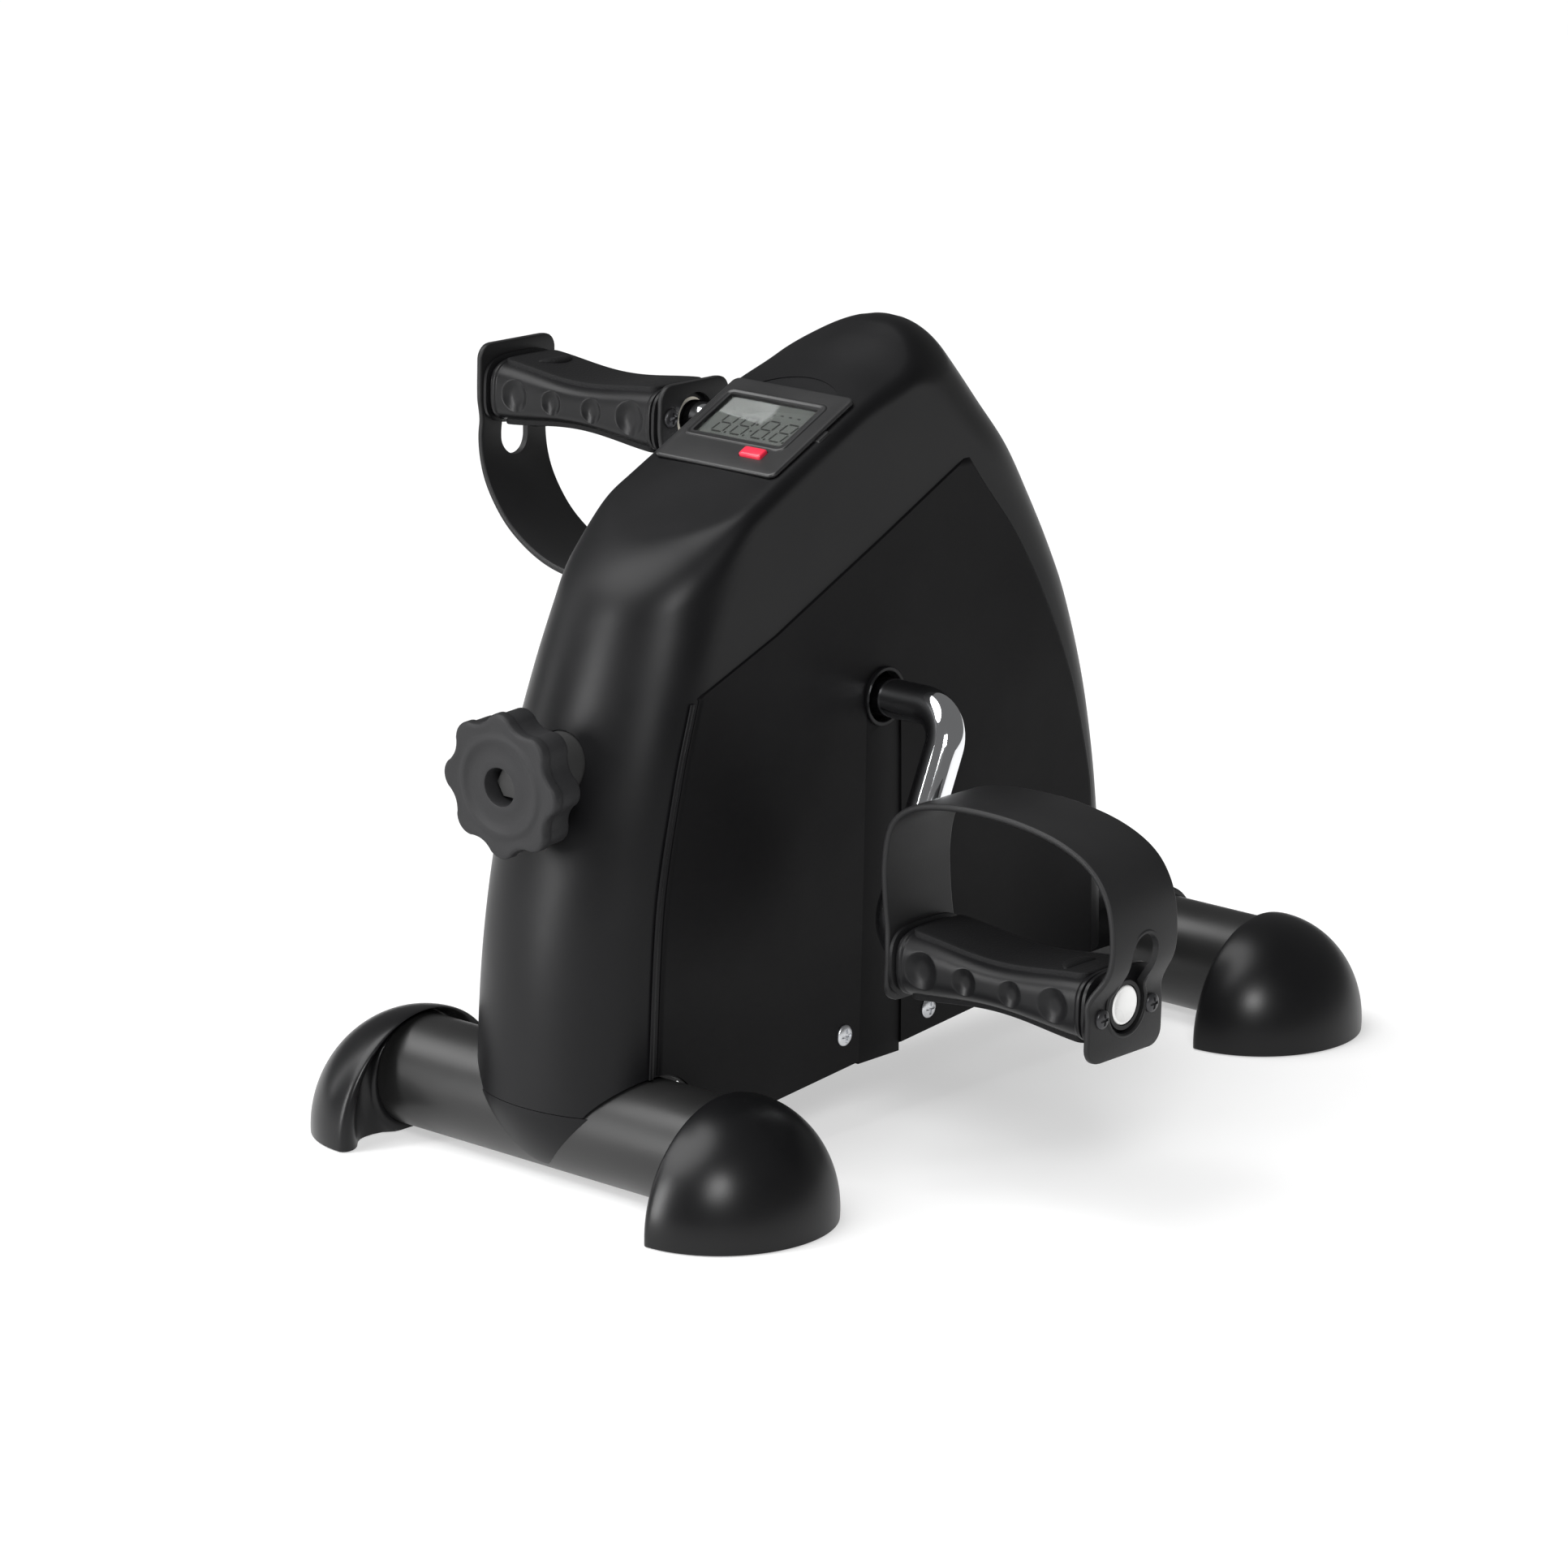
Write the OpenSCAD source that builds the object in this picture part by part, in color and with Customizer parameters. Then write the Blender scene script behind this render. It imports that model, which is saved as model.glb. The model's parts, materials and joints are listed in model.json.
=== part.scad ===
// Desktop pedal exerciser: a narrow moulded housing on two cross tubes, with a
// bent crank, two strapped pedals, a friction brake set by a front knob and a
// clip-in monitor.  +X is the user's right, the knob end faces -Y, +Z is up, and
// the origin lies on the floor midway between the two foot tubes.

/* [Feet] */
// Distance between the axes of the two foot tubes
foot_span = 320; // [300:1:340]
// Outer diameter of a foot tube
tube_d = 42; // [38:0.5:44]
// Wall of a foot tube
tube_wall = 1.5; // [1:0.1:2.5]
// Height of the tube axis over the floor
tube_z = 22; // [21:0.5:24]
// Half the length of a foot tube
tube_half = 82; // [78:1:86]
// Distance from the middle to the rim of an end cap
cap_rim_x = 74; // [68:1:80]
// Length of the end cap's dome
cap_dome = 38; // [34:1:42]
// Radius of the end cap's dome
cap_r = 42.9; // [40:0.1:46]
// Wall of the end cap
cap_wall = 3; // [2:0.5:4]

/* [Crank] */
// Place of the crank axle, front to rear
axle_y = -36; // [-40:0.5:-32]
// Height of the crank axle
axle_z = 161; // [156:0.5:166]
// Crank radius, axle to pedal axis
crank_r = 87; // [84:0.5:90]
// Angle of the right crank arm forward of straight down
crank_lean = 23.75; // [0:0.25:40]
// Diameter of the crank bar
rod_d = 14.5; // [13:0.5:15]
// Distance from the middle to the crank arm
arm_x = 71; // [68:0.5:73]
// Bend radius of the crank bar
bend_r = 14; // [12:0.5:15]
// Diameter of the pedal spindle
spindle_d = 12; // [10:0.5:13]
// Diameter of the friction drum
drum_d = 48; // [40:1:48]

/* [Pedals] */
// Distance from the middle to the pedal's inner face
pedal_in = 88; // [87.5:0.5:92]
// Length of the pedal body
pedal_len = 88.5; // [84:0.5:92]
// Width of the pedal body, front to rear
pedal_w = 38; // [36:0.5:40]
// Thickness of the pedal body at its ends
pedal_h = 24.5; // [23:0.5:27]
// How far each tread sinks at mid length
pedal_waist = 3.6; // [2:0.2:4]
// Width of the foot strap
strap_w = 37; // [34:0.5:38]
// Thickness of the foot strap
strap_t = 2.6; // [2:0.2:3]

/* [Brake and knob] */
// Distance from the axle to the knob's face
knob_reach = 165; // [162:0.5:165.5]
// Upward aim of the brake screw, from the knob to the axle
brake_aim = 3.8; // [3:0.1:4.6]
// Mean diameter of the knob
knob_d = 50; // [46:0.5:52]
// Depth of the knob's lobed rim
knob_t = 15; // [13:0.5:16]
// Number of lobes on the knob
knob_lobes = 8; // [6:1:10]

/* [Monitor] */
// Slope of the monitor's face
monitor_tilt = 26; // [24:0.5:28]
// Width of the monitor's face
monitor_w = 56.6; // [54:0.2:58]
// Length of the monitor's face along the slope
monitor_l = 50.5; // [48:0.5:52]
// How far the face stands over the housing
monitor_rise = 2.4; // [2:0.1:3]
// Travel of the reset button
button_travel = 0.8; // [0.5:0.1:1]

/* [Housing] */
// Wall of the housing
wall = 2.5; // [2:0.1:3]
// Points around each ring of the housing
ring_points = 48; // [32:4:56]

/* [Hidden] */

$fn = 48;
eps = 0.01;
running = 0.05;

black = "#1b1b1d";
satin_black = "#232326";
steel = "#a9adb2";
chrome_grey = "#d4d7db";
rubber_black = "#161617";

tube_r = tube_d / 2;
foot_y = foot_span / 2;
rod_r = rod_d / 2;
spindle_r = spindle_d / 2;
drum_r = drum_d / 2;
pedal_out = pedal_in + pedal_len;
pedal_mid = pedal_in + pedal_len / 2;
pedal_y = axle_y - crank_r * sin(crank_lean);
pedal_z = axle_z - crank_r * cos(crank_lean);
left_pedal_y = 2 * axle_y - pedal_y;
left_pedal_z = 2 * axle_z - pedal_z;

// ---------------------------------------------------------------- outlines
// Cubic interpolation in column k of a table whose first column is the key.
function slope_at(t, k, i) =
    let (a = max(i - 1, 0), b = min(i + 1, len(t) - 1))
    (t[b][k] - t[a][k]) / (t[b][0] - t[a][0]);
function span_of(t, v) = max([for (j = [0:len(t) - 2]) if (t[j][0] <= v || j == 0) j]);
function read(t, k, v) =
    let (i = span_of(t, v), h = t[i + 1][0] - t[i][0], u = (v - t[i][0]) / h)
    (2 * u ^ 3 - 3 * u ^ 2 + 1) * t[i][k] + (u ^ 3 - 2 * u ^ 2 + u) * h * slope_at(t, k, i)
    + (3 * u ^ 2 - 2 * u ^ 3) * t[i + 1][k] + (u ^ 3 - u ^ 2) * h * slope_at(t, k, i + 1);
function clamp(v, lo, hi) = min(max(v, lo), hi);
function ease(u) = let (v = clamp(u, 0, 1)) v * v * (3 - 2 * v);
function soft_max(a, b, k) = let (h = max(k - abs(a - b), 0) / k) max(a, b) + h * h * k / 4;
// Rounded box outline of half sizes a and b with power p.
function squircle(a, b, p, n) = [for (i = [0:n - 1]) let (c = cos(360 * i / n), s = sin(360 * i / n))
    [a * sign(c) * abs(c) ^ (2 / p), b * sign(s) * abs(s) ^ (2 / p)]];
function midpoint_curve(p, steps) = [for (i = [0:len(p) - 2]) for (j = [0:steps - 1])
    let (a = p[max(i - 1, 0)], b = p[i], c = p[i + 1], d = p[min(i + 2, len(p) - 1)], u = j / steps)
    0.5 * (2 * b + (c - a) * u + (2 * a - 5 * b + 4 * c - d) * u ^ 2 + (3 * b - a - 3 * c + d) * u ^ 3),
    p[len(p) - 1]];
function ribbon(p, t) = concat(ribbon_side(p, t / 2), [for (q = [len(p) - 1:-1:0]) ribbon_side(p, -t / 2)[q]]);
function ribbon_side(p, d) = [for (i = [0:len(p) - 1])
    let (v = p[min(i + 1, len(p) - 1)] - p[max(i - 1, 0)]) p[i] + d * [-v[1], v[0]] / norm(v)];

// Lays a YZ outline as a plate between two X planes.
module plate_x(x0, x1, points) {
    translate([x0, 0, 0]) rotate([90, 0, 90]) linear_extrude(x1 - x0) polygon(points);
}
// Lays an XZ outline as a plate between two Y planes.
module plate_y(y0, y1, points) {
    translate([0, y1, 0]) rotate([90, 0, 0]) linear_extrude(y1 - y0) polygon(points);
}
module rod_x(x0, x1, r) {
    translate([x0, 0, 0]) rotate([0, 90, 0]) cylinder(r = r, h = x1 - x0);
}
module rod_y(y0, y1, r) {
    translate([0, y0, 0]) rotate([-90, 0, 0]) cylinder(r = r, h = y1 - y0);
}
module box(lo, hi) {
    translate(lo) cube(hi - lo);
}
module at_axle() {
    translate([0, axle_y, axle_z]) children();
}
// Frame of the brake screw: origin on the axle, -Y runs out to the knob.
module brake_frame() {
    at_axle() rotate([brake_aim, 0, 0]) children();
}

// ---------------------------------------------------------------- feet
module foot_tube(y) {
    translate([0, y, tube_z]) difference() {
        rod_x(-tube_half, tube_half, tube_r);
        rod_x(-tube_half - 1, tube_half + 1, tube_r - tube_wall);
        for (x = [-bolt_x, bolt_x]) translate([x, 0, bolt_z - tube_z]) rod_y(-tube_d, tube_d, bolt_r);
    }
}
module front_tube() color(satin_black) foot_tube(-foot_y);
module rear_tube() color(satin_black) foot_tube(foot_y);

cap_centre_z = 2.4;
collar_r = 22.8;
dome_steps = 20;
module dome(r, h) {
    rotate([0, 90, 0]) rotate_extrude($fn = 64)
        polygon(concat([[0, 0]], [for (i = [0:dome_steps]) let (a = 90 * i / dome_steps) [r * cos(a), h * sin(a)]]));
}
module end_cap(sx, sy) {
    mirror([sx < 0 ? 1 : 0, 0, 0]) mirror([0, sy > 0 ? 1 : 0, 0]) difference() {
        union() {
            translate([cap_rim_x, -foot_y, cap_centre_z]) difference() {
                dome(cap_r, cap_dome);
                translate([-eps, 0, 0]) dome(cap_r - cap_wall, cap_dome - cap_wall);
            }
            intersection() {
                translate([cap_rim_x, -foot_y, cap_centre_z]) dome(cap_r - 1, cap_dome - 1);
                box([cap_rim_x, -foot_y - cap_r, 0], [cap_rim_x + cap_dome, -foot_y + cap_r, cap_wall]);
            }
            intersection() {
                translate([cap_rim_x, -foot_y, cap_centre_z]) dome(cap_r - 1, cap_dome - 1);
                box([cap_rim_x + 5, -foot_y - cap_r, 0], [cap_rim_x + 8, -foot_y + cap_r, cap_r + 9]);
            }
            intersection() {
                translate([0, -foot_y, tube_z]) rod_x(cap_rim_x, cap_rim_x + 16, collar_r);
                translate([cap_rim_x, -foot_y, cap_centre_z]) dome(cap_r - eps, cap_dome);
            }
        }
        translate([0, -foot_y, tube_z]) rod_x(cap_rim_x - 10, tube_half, tube_r);
        box([0, -foot_y - 2 * cap_r, -2 * cap_r], [2 * cap_rim_x, -foot_y + 2 * cap_r, 0]);
    }
}
module cap_front_right() color(black) end_cap(1, -1);
module cap_front_left() color(black) end_cap(-1, -1);
module cap_rear_right() color(black) end_cap(1, 1);
module cap_rear_left() color(black) end_cap(-1, 1);

// ---------------------------------------------------------------- frame
beam_w = 30;
beam_lo = 28;
beam_hi = 42;
beam_wall = 1.5;
end_plate_y = 139.5;
plate_t = 3;
bolt_x = 8;
bolt_z = 35;
bolt_r = 3;
bolt_head_y = 181;
bolt_tip_y = 128;
module tube_cutters() {
    for (s = [-1, 1]) translate([0, s * foot_y, tube_z]) rod_x(-tube_half, tube_half, tube_r);
}
module base_beam() color(satin_black) difference() {
    union() {
        difference() {
            box([-beam_w / 2, -foot_y + 10, beam_lo], [beam_w / 2, foot_y - 10, beam_hi]);
            box([-beam_w / 2 + beam_wall, -foot_y, beam_lo + beam_wall], [beam_w / 2 - beam_wall, foot_y, beam_hi - beam_wall]);
        }
        for (s = [-1, 1]) translate([0, s * (end_plate_y - plate_t / 2), (beam_lo + beam_hi) / 2])
            cube([beam_w - 1, plate_t, beam_hi - beam_lo - 1], center = true);
    }
    tube_cutters();
    for (x = [-bolt_x, bolt_x]) translate([x, 0, bolt_z]) rod_y(-foot_y, foot_y, bolt_r);
}
module frame_bolts() color(steel) for (s = [-1, 1]) for (x = [-bolt_x, bolt_x]) mirror([0, s > 0 ? 1 : 0, 0])
    translate([x, 0, bolt_z]) {
        rod_y(-foot_y - 14, -bolt_tip_y, bolt_r);
        difference() {
            rod_y(-bolt_head_y, -foot_y - 14, 5);
            translate([-x, -foot_y, tube_z - bolt_z]) rod_x(-tube_half, tube_half, tube_r);
        }
    }
module frame_nuts() color(steel) for (s = [-1, 1]) for (x = [-bolt_x, bolt_x]) mirror([0, s > 0 ? 1 : 0, 0])
    translate([x, 0, bolt_z]) difference() {
        translate([0, -end_plate_y + plate_t, 0]) rotate([-90, 0, 0]) cylinder(r = 5, h = 5, $fn = 6);
        rod_y(-foot_y, -bolt_tip_y + 1, bolt_r);
    }

screw_y = [-57, -8];
screw_z = 37;
screw_x = 40.3;
tab_x = 37.6;
bracket_t = 3;
module shell_brackets() color(satin_black) for (y = screw_y) difference() {
    union() {
        box([-tab_x, y - 6, beam_hi], [tab_x, y + 6, beam_hi + bracket_t]);
        for (s = [-1, 1]) translate([s * (tab_x - bracket_t / 2), y, (beam_hi + beam_lo + 2) / 2])
            cube([bracket_t, 12, beam_hi - beam_lo - 2], center = true);
    }
    translate([0, y, screw_z]) rod_x(-tab_x - 1, tab_x + 1, 2);
}
module housing_screws() color(steel) for (y = screw_y) for (s = [-1, 1]) mirror([s < 0 ? 1 : 0, 0, 0])
    translate([0, y, screw_z]) {
        rod_x(tab_x - 6, screw_x + 0.2, 2);
        difference() {
            translate([screw_x + 0.2, 0, 0]) rotate([0, 90, 0]) cylinder(r1 = 4, r2 = 3, h = 1.8);
            for (a = [0, 90]) translate([screw_x + 1.6, 0, 0]) rotate([a, 0, 0]) cube([1.2, 4, 0.9], center = true);
        }
    }

bracket_in = 20;
bearing_r = 11;
bracket_head = 19;
bracket_foot = beam_hi + bracket_t;
module axle_bracket() color(satin_black) difference() {
    union() {
        box([-bracket_in - plate_t, axle_y - 30, bracket_foot], [bracket_in + plate_t, axle_y + 30, bracket_foot + plate_t]);
        for (s = [-1, 1]) mirror([s < 0 ? 1 : 0, 0, 0]) {
            plate_x(bracket_in, bracket_in + plate_t, [
                [axle_y - 30, bracket_foot], [axle_y + 30, bracket_foot],
                [axle_y + bracket_head, axle_z], [axle_y - bracket_head, axle_z]
            ]);
            at_axle() rod_x(bracket_in, bracket_in + plate_t, bracket_head);
        }
    }
    at_axle() rod_x(-bracket_in - plate_t - 1, bracket_in + plate_t + 1, bearing_r);
}
module bearing(s) {
    at_axle() mirror([s < 0 ? 1 : 0, 0, 0]) difference() {
        union() {
            rod_x(bracket_in - 1.4, bracket_in + plate_t, bearing_r);
            rod_x(bracket_in + plate_t, bracket_in + plate_t + 2, bearing_r + 3);
        }
        rod_x(0, bracket_in + 10, rod_r + running);
    }
}
module bearing_right() color("#c9c2ae") bearing(1);
module bearing_left() color("#c9c2ae") bearing(-1);

post_near = 124;
post_far = 128;
module knob_post() color(satin_black) difference() {
    brake_frame() box([-12, -post_far, -114], [12, -post_near, 6.5]);
    brake_frame() rod_y(-post_far - 5, -post_near + 5, screw_r + 0.3);
    tube_cutters();
}
bushing_r = 12;
hub_end = 143;
module knob_bushing() color(rubber_black) brake_frame() difference() {
    rod_y(-hub_end + 0.3, -post_far, bushing_r);
    rod_y(-hub_end - 1, -post_near, screw_r + running);
}

// ---------------------------------------------------------------- housing
// Height, nose line, where the nose meets the flat side, where the side meets the
// tail, tail line and half width.
levels = [
    [10, -186, -158, 93, 116.5, 40.8], [60, -186, -157.5, 92, 115.5, 40], [90, -184, -155.5, 90, 112, 39.4],
    [120, -179, -151.5, 85, 107.5, 38.7], [150, -172, -144.5, 76.5, 101.5, 37.9], [180, -162, -134.5, 64, 92.8, 36.6],
    [200, -154.5, -126, 52.5, 84, 35.5], [220, -146.5, -116, 38, 73.4, 34.5], [240, -135, -104, 22, 61, 33.6],
    [258, -123, -92, 3, 45, 33], [275, -111, -80, -16, 29.7, 32.5], [300, -94, -63, -48, 6, 32]
];
// Distance along the housing and the height of its top at mid width.
crest = [[-200, 194], [-150, 218.5], [-90, 247.8], [-45, 269.2], [-25, 278.2], [-8, 287.2], [6, 294],
    [18, 296.2], [40, 295], [80, 290]];
crown_flat = 0.8;
crown_peak = 8;
function nose_y(z) = read(levels, 1, z);
function side_front_y(z) = read(levels, 2, z);
function side_rear_y(z) = read(levels, 3, z);
function tail_y(z) = read(levels, 4, z);
function half_w(z) = read(levels, 5, z);
function crown(y) = crown_flat + crown_peak * ease((y + 50) / 60);
function edge_round(y) = 5.5 + 8 * ease((-105 - y) / 25) + 8 * ease((y + 20) / 30);
function plan_gap(x, y, z) =
    let (a = side_front_y(z), b = side_rear_y(z),
        v = y < a ? (a - y) / (a - nose_y(z)) : y > b ? (y - b) / (tail_y(z) - b) : 0)
    (norm([x / half_w(z), v]) - 1) * half_w(z);
function top_gap(x, y, z) = 0.9 * (z - read(crest, 1, y) + crown(y) * (x / half_w(z)) ^ 2);
function housing_gap(x, y, z) = soft_max(plan_gap(x, y, z), top_gap(x, y, z), edge_round(y));

heart_y = -30;
function ring_heart(z) = heart_y + 36 * clamp((z - 215) / 78, 0, 1);
reach = [[10, 150], [150, 140], [215, 112], [240, 84], [270, 42], [296, 14]];
function ring_reach(c, s, z, inset, lo, hi, n) =
    let (m = (lo + hi) / 2)
    n == 0 ? m
    : housing_gap(c * m, ring_heart(z) + s * m, z) + inset < 0
        ? ring_reach(c, s, z, inset, m, hi, n - 1)
        : ring_reach(c, s, z, inset, lo, m, n - 1);
function housing_ring(z, inset) = [for (i = [0:ring_points - 1])
    let (t = 360 * i / ring_points, d = [40 * sin(t), -read(reach, 1, z) * cos(t)], u = d / norm(d),
        r = ring_reach(u[0], u[1], z, inset, 0, 190, 18))
    [r * u[0], ring_heart(z) + r * u[1], z]];
ring_heights = [10, 40, 65, 90, 115, 140, 160, 180, 196, 207, 215, 221, 226, 231, 237, 243, 249, 255, 261, 267,
    273, 278, 283, 287, 289.8, 291.4];
roof_t = 3.6;
module ring_stack(heights, inset) {
    rings = [for (z = heights) housing_ring(z, inset)];
    last = len(heights) - 1;
    n = ring_points;
    polyhedron(
        points = [for (r = rings) for (p = r) p],
        faces = concat(
            [[for (i = [0:n - 1]) i]],
            [for (k = [0:last - 1]) for (i = [0:n - 1]) let (j = (i + 1) % n)
                each [[k * n + i, (k + 1) * n + i, k * n + j], [k * n + j, (k + 1) * n + i, (k + 1) * n + j]]],
            [[for (i = [n - 1:-1:0]) last * n + i]]
        )
    );
}
// The housing's lower edge rises gently to the rear and stops over the foot tube.
edge_mid_z = 29;
edge_rise = 0.09;
seam_z = 30;
function edge_z(y) = edge_mid_z + edge_rise * y;
module below_edge() {
    plate_x(-60, 60, [[-220, -10], [150, -10], [150, edge_z(150)], [-220, edge_z(-220)]]);
    box([-60, -220, -10], [60, -150, seam_z]);
    translate([0, -foot_y, tube_z]) rod_x(-60, 60, tube_r + 1.5);
}
hole_half = 9.5;
slot_foot = 12.5;
module slot_outline(grow, top, bottom) {
    plate_x(20, 60, [
        [axle_y - slot_foot - grow, bottom], [axle_y + slot_foot + grow, bottom],
        [axle_y + hole_half + grow, top], [axle_y - hole_half - grow, top]
    ]);
}
module housing() color(black) difference() {
    ring_stack(ring_heights, 0);
    ring_stack(concat([9], [for (i = [1:len(ring_heights) - 1]) ring_heights[i] - roof_t]), wall);
    below_edge();
    for (s = [-1, 1]) mirror([s < 0 ? 1 : 0, 0, 0]) {
        slot_outline(0, axle_z, 0);
        at_axle() rod_x(20, 60, hole_half);
        for (y = screw_y) translate([0, y, screw_z]) rod_x(30, 60, 2.2);
    }
    box([-beam_w / 2 - 0.5, 90, 0], [beam_w / 2 + 0.5, 150, beam_hi + 0.5]);
    brake_frame() rod_y(-knob_reach, -post_far + 1, bushing_r + 0.3);
    monitor_frame() {
        box([-case_w / 2 - 0.3, -case_l / 2 - 0.3, -12], [case_w / 2 + 0.3, case_l / 2 + 0.3, 3]);
        box([-monitor_w / 2 - 0.3, -monitor_l / 2 - 0.3, -monitor_rise], [monitor_w / 2 + 0.3, monitor_l / 2 + 0.3, 5]);
    }
}
cover_top = 154;
module slot_cover(s) {
    inner = [for (z = [20, 60, 100, 150]) [half_w(z) - 2.4, z]];
    outer = [for (z = [150, 100, 60, 20]) [half_w(z) - 0.4, z]];
    mirror([s < 0 ? 1 : 0, 0, 0]) difference() {
        intersection() {
            slot_outline(-0.15, axle_z, 0);
            plate_y(axle_y - 20, axle_y + 20, concat(inner, outer));
            box([0, -100, edge_z(axle_y) - 2], [60, 100, cover_top]);
        }
        at_axle() rod_x(20, 60, 10);
    }
}
module slot_cover_right() color(black) slot_cover(1);
module slot_cover_left() color(black) slot_cover(-1);

// The front saddle continues the nose down in front of the tube.
saddle_gap = 0.3;
function nose_outline(d, w, back) = [for (i = [0:24]) let (a = -90 + 180 * i / 24)
    [w * sin(a), back - d * cos(a)]];
module front_saddle() color(black) difference() {
    hull() {
        translate([0, 0, seam_z - 1.2]) linear_extrude(1) polygon(nose_outline(28, 40.4, -158));
        translate([0, 0, 6]) linear_extrude(1) polygon(nose_outline(17.4, 30, -159));
    }
    translate([0, -foot_y, tube_z]) rod_x(-60, 60, tube_r + 0.05);
    box([-60, -160, 0], [60, -100, 40]);
}
saddle_half = 24;
module rear_saddle() color(black) difference() {
    union() {
        intersection() {
            translate([0, foot_y, tube_z]) rod_x(-saddle_half, saddle_half, tube_r + 3);
            plate_y(100, foot_y + 40, [[-saddle_half, 20], [-8, 6], [8, 6], [saddle_half, 20], [saddle_half, 60], [-saddle_half, 60]]);
            box([-60, foot_y - 12, 0], [60, foot_y + 40, 60]);
        }
        difference() {
            box([-beam_w / 2 - 3, 100, beam_lo - 1], [beam_w / 2 + 3, foot_y - 12, beam_hi + 3]);
            box([-beam_w / 2 - 0.5, 90, 0], [beam_w / 2 + 0.5, foot_y - 5, beam_hi + 0.5]);
            box([-60, 90, 0], [60, tail_y(42) + 0.5, 60]);
        }
    }
    translate([0, foot_y, tube_z]) rod_x(-60, 60, tube_r + 0.05);
    box([-beam_w / 2, 0, beam_lo], [beam_w / 2, foot_y, beam_hi]);
    for (x = [-bolt_x, bolt_x]) translate([x, 0, bolt_z]) rod_y(foot_y, foot_y + 40, 5.2);
}

// ---------------------------------------------------------------- monitor
monitor_y = -67.9;
monitor_z = 260.4;
case_w = 50;
case_l = 44;
case_deep = 19;
window_lo = [-22.5, -8.6];
window_hi = [19, 15.2];
button_at = [11.7, -15.3];
button_size = [10, 5];
module monitor_frame() {
    translate([0, monitor_y, monitor_z]) rotate([monitor_tilt, 0, 0]) children();
}
module block(lo, hi, z0, z1) {
    translate([lo[0], lo[1], z0]) cube([hi[0] - lo[0], hi[1] - lo[1], z1 - z0]);
}
module monitor_case() color(satin_black) monitor_frame() difference() {
    block([-case_w / 2, -case_l / 2], [case_w / 2, case_l / 2], -case_deep, -monitor_rise);
    block([-case_w / 2 + 1.5, -case_l / 2 + 1.5], [case_w / 2 - 1.5, case_l / 2 - 1.5], -case_deep + 1.5, 1);
    translate([0, case_l / 2 - 8, -case_deep + 5]) rod_y(0, 20, 1.6);
}
module monitor_face() color(satin_black) monitor_frame() difference() {
    translate([0, 0, -monitor_rise]) linear_extrude(monitor_rise) polygon(squircle(monitor_w / 2, monitor_l / 2, 14, 56));
    block(window_lo, window_hi, -monitor_rise - 1, 1);
    block(window_lo - [1.5, 1.5], window_hi + [1.5, 1.5], -monitor_rise - 1, -1.4);
    block(button_at - button_size / 2 - [0.2, 0.2], button_at + button_size / 2 + [0.2, 0.2], -monitor_rise - 1, 1);
}
module monitor_lens() color("#9fa7a5") monitor_frame()
    block(window_lo - [1.4, 1.4], window_hi + [1.4, 1.4], -monitor_rise + 0.1, -1.4);
module lcd_panel() color("#8d948f") monitor_frame()
    block(window_lo - [0.9, 0.9], window_hi + [0.9, 0.9], -5.2, -monitor_rise);
module monitor_board() color("#2f6b45") monitor_frame()
    block([-case_w / 2 + 2, -case_l / 2 + 2], [case_w / 2 - 2, case_l / 2 - 2], -7.6, -6.2);
module monitor_battery() color("#b8975a") monitor_frame() translate([0, -8, -12.9]) {
    rod_x(-21, 21, 4.5);
    rod_x(21, 22.2, 1.6);
}
module reset_button() color("#c8202c") monitor_frame()
    block(button_at - button_size / 2, button_at + button_size / 2, -5, 1);

// ---------------------------------------------------------------- sensor
sensor_lo = [13.5, -4, 15];
module reed_sensor() color(rubber_black) at_axle() difference() {
    box(sensor_lo, [bracket_in, 4, 25]);
    translate([17, 4, 21]) rod_y(-3, 3, 1.2);
}
lead_r = 1.2;
lead_route = [[17, -33, 182], [17, -26, 183], [16, -18, 190], [12, -13, 202], [7, -12, 216], [3, -13, 231],
    [1, -15.5, 245], [0, -19.5, 256], [0, -26, 262], [0, -33, 261.9], [0, -38.4, 259.2], [0, -43.8, 256.6]];
function cross_ring(p, d, r) =
    let (a = d / norm(d), u = cross(a, [1, 0, 0]) / norm(cross(a, [1, 0, 0])), v = cross(a, u))
    [for (k = [0:7]) p + r * (cos(45 * k) * u + sin(45 * k) * v)];
module sensor_lead() color(rubber_black) {
    path = midpoint_curve(lead_route, 3);
    last = len(path) - 1;
    rings = [for (i = [0:last]) cross_ring(path[i], path[min(i + 1, last)] - path[max(i - 1, 0)], lead_r)];
    polyhedron(
        points = [for (r = rings) for (p = r) p],
        faces = concat(
            [[for (k = [7:-1:0]) k]],
            [for (i = [0:last - 1]) for (k = [0:7]) let (m = (k + 1) % 8)
                each [[8 * i + k, 8 * i + m, 8 * i + 8 + k], [8 * i + m, 8 * i + 8 + m, 8 * i + 8 + k]]],
            [[for (k = [0:7]) 8 * last + k]]
        )
    );
}

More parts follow.
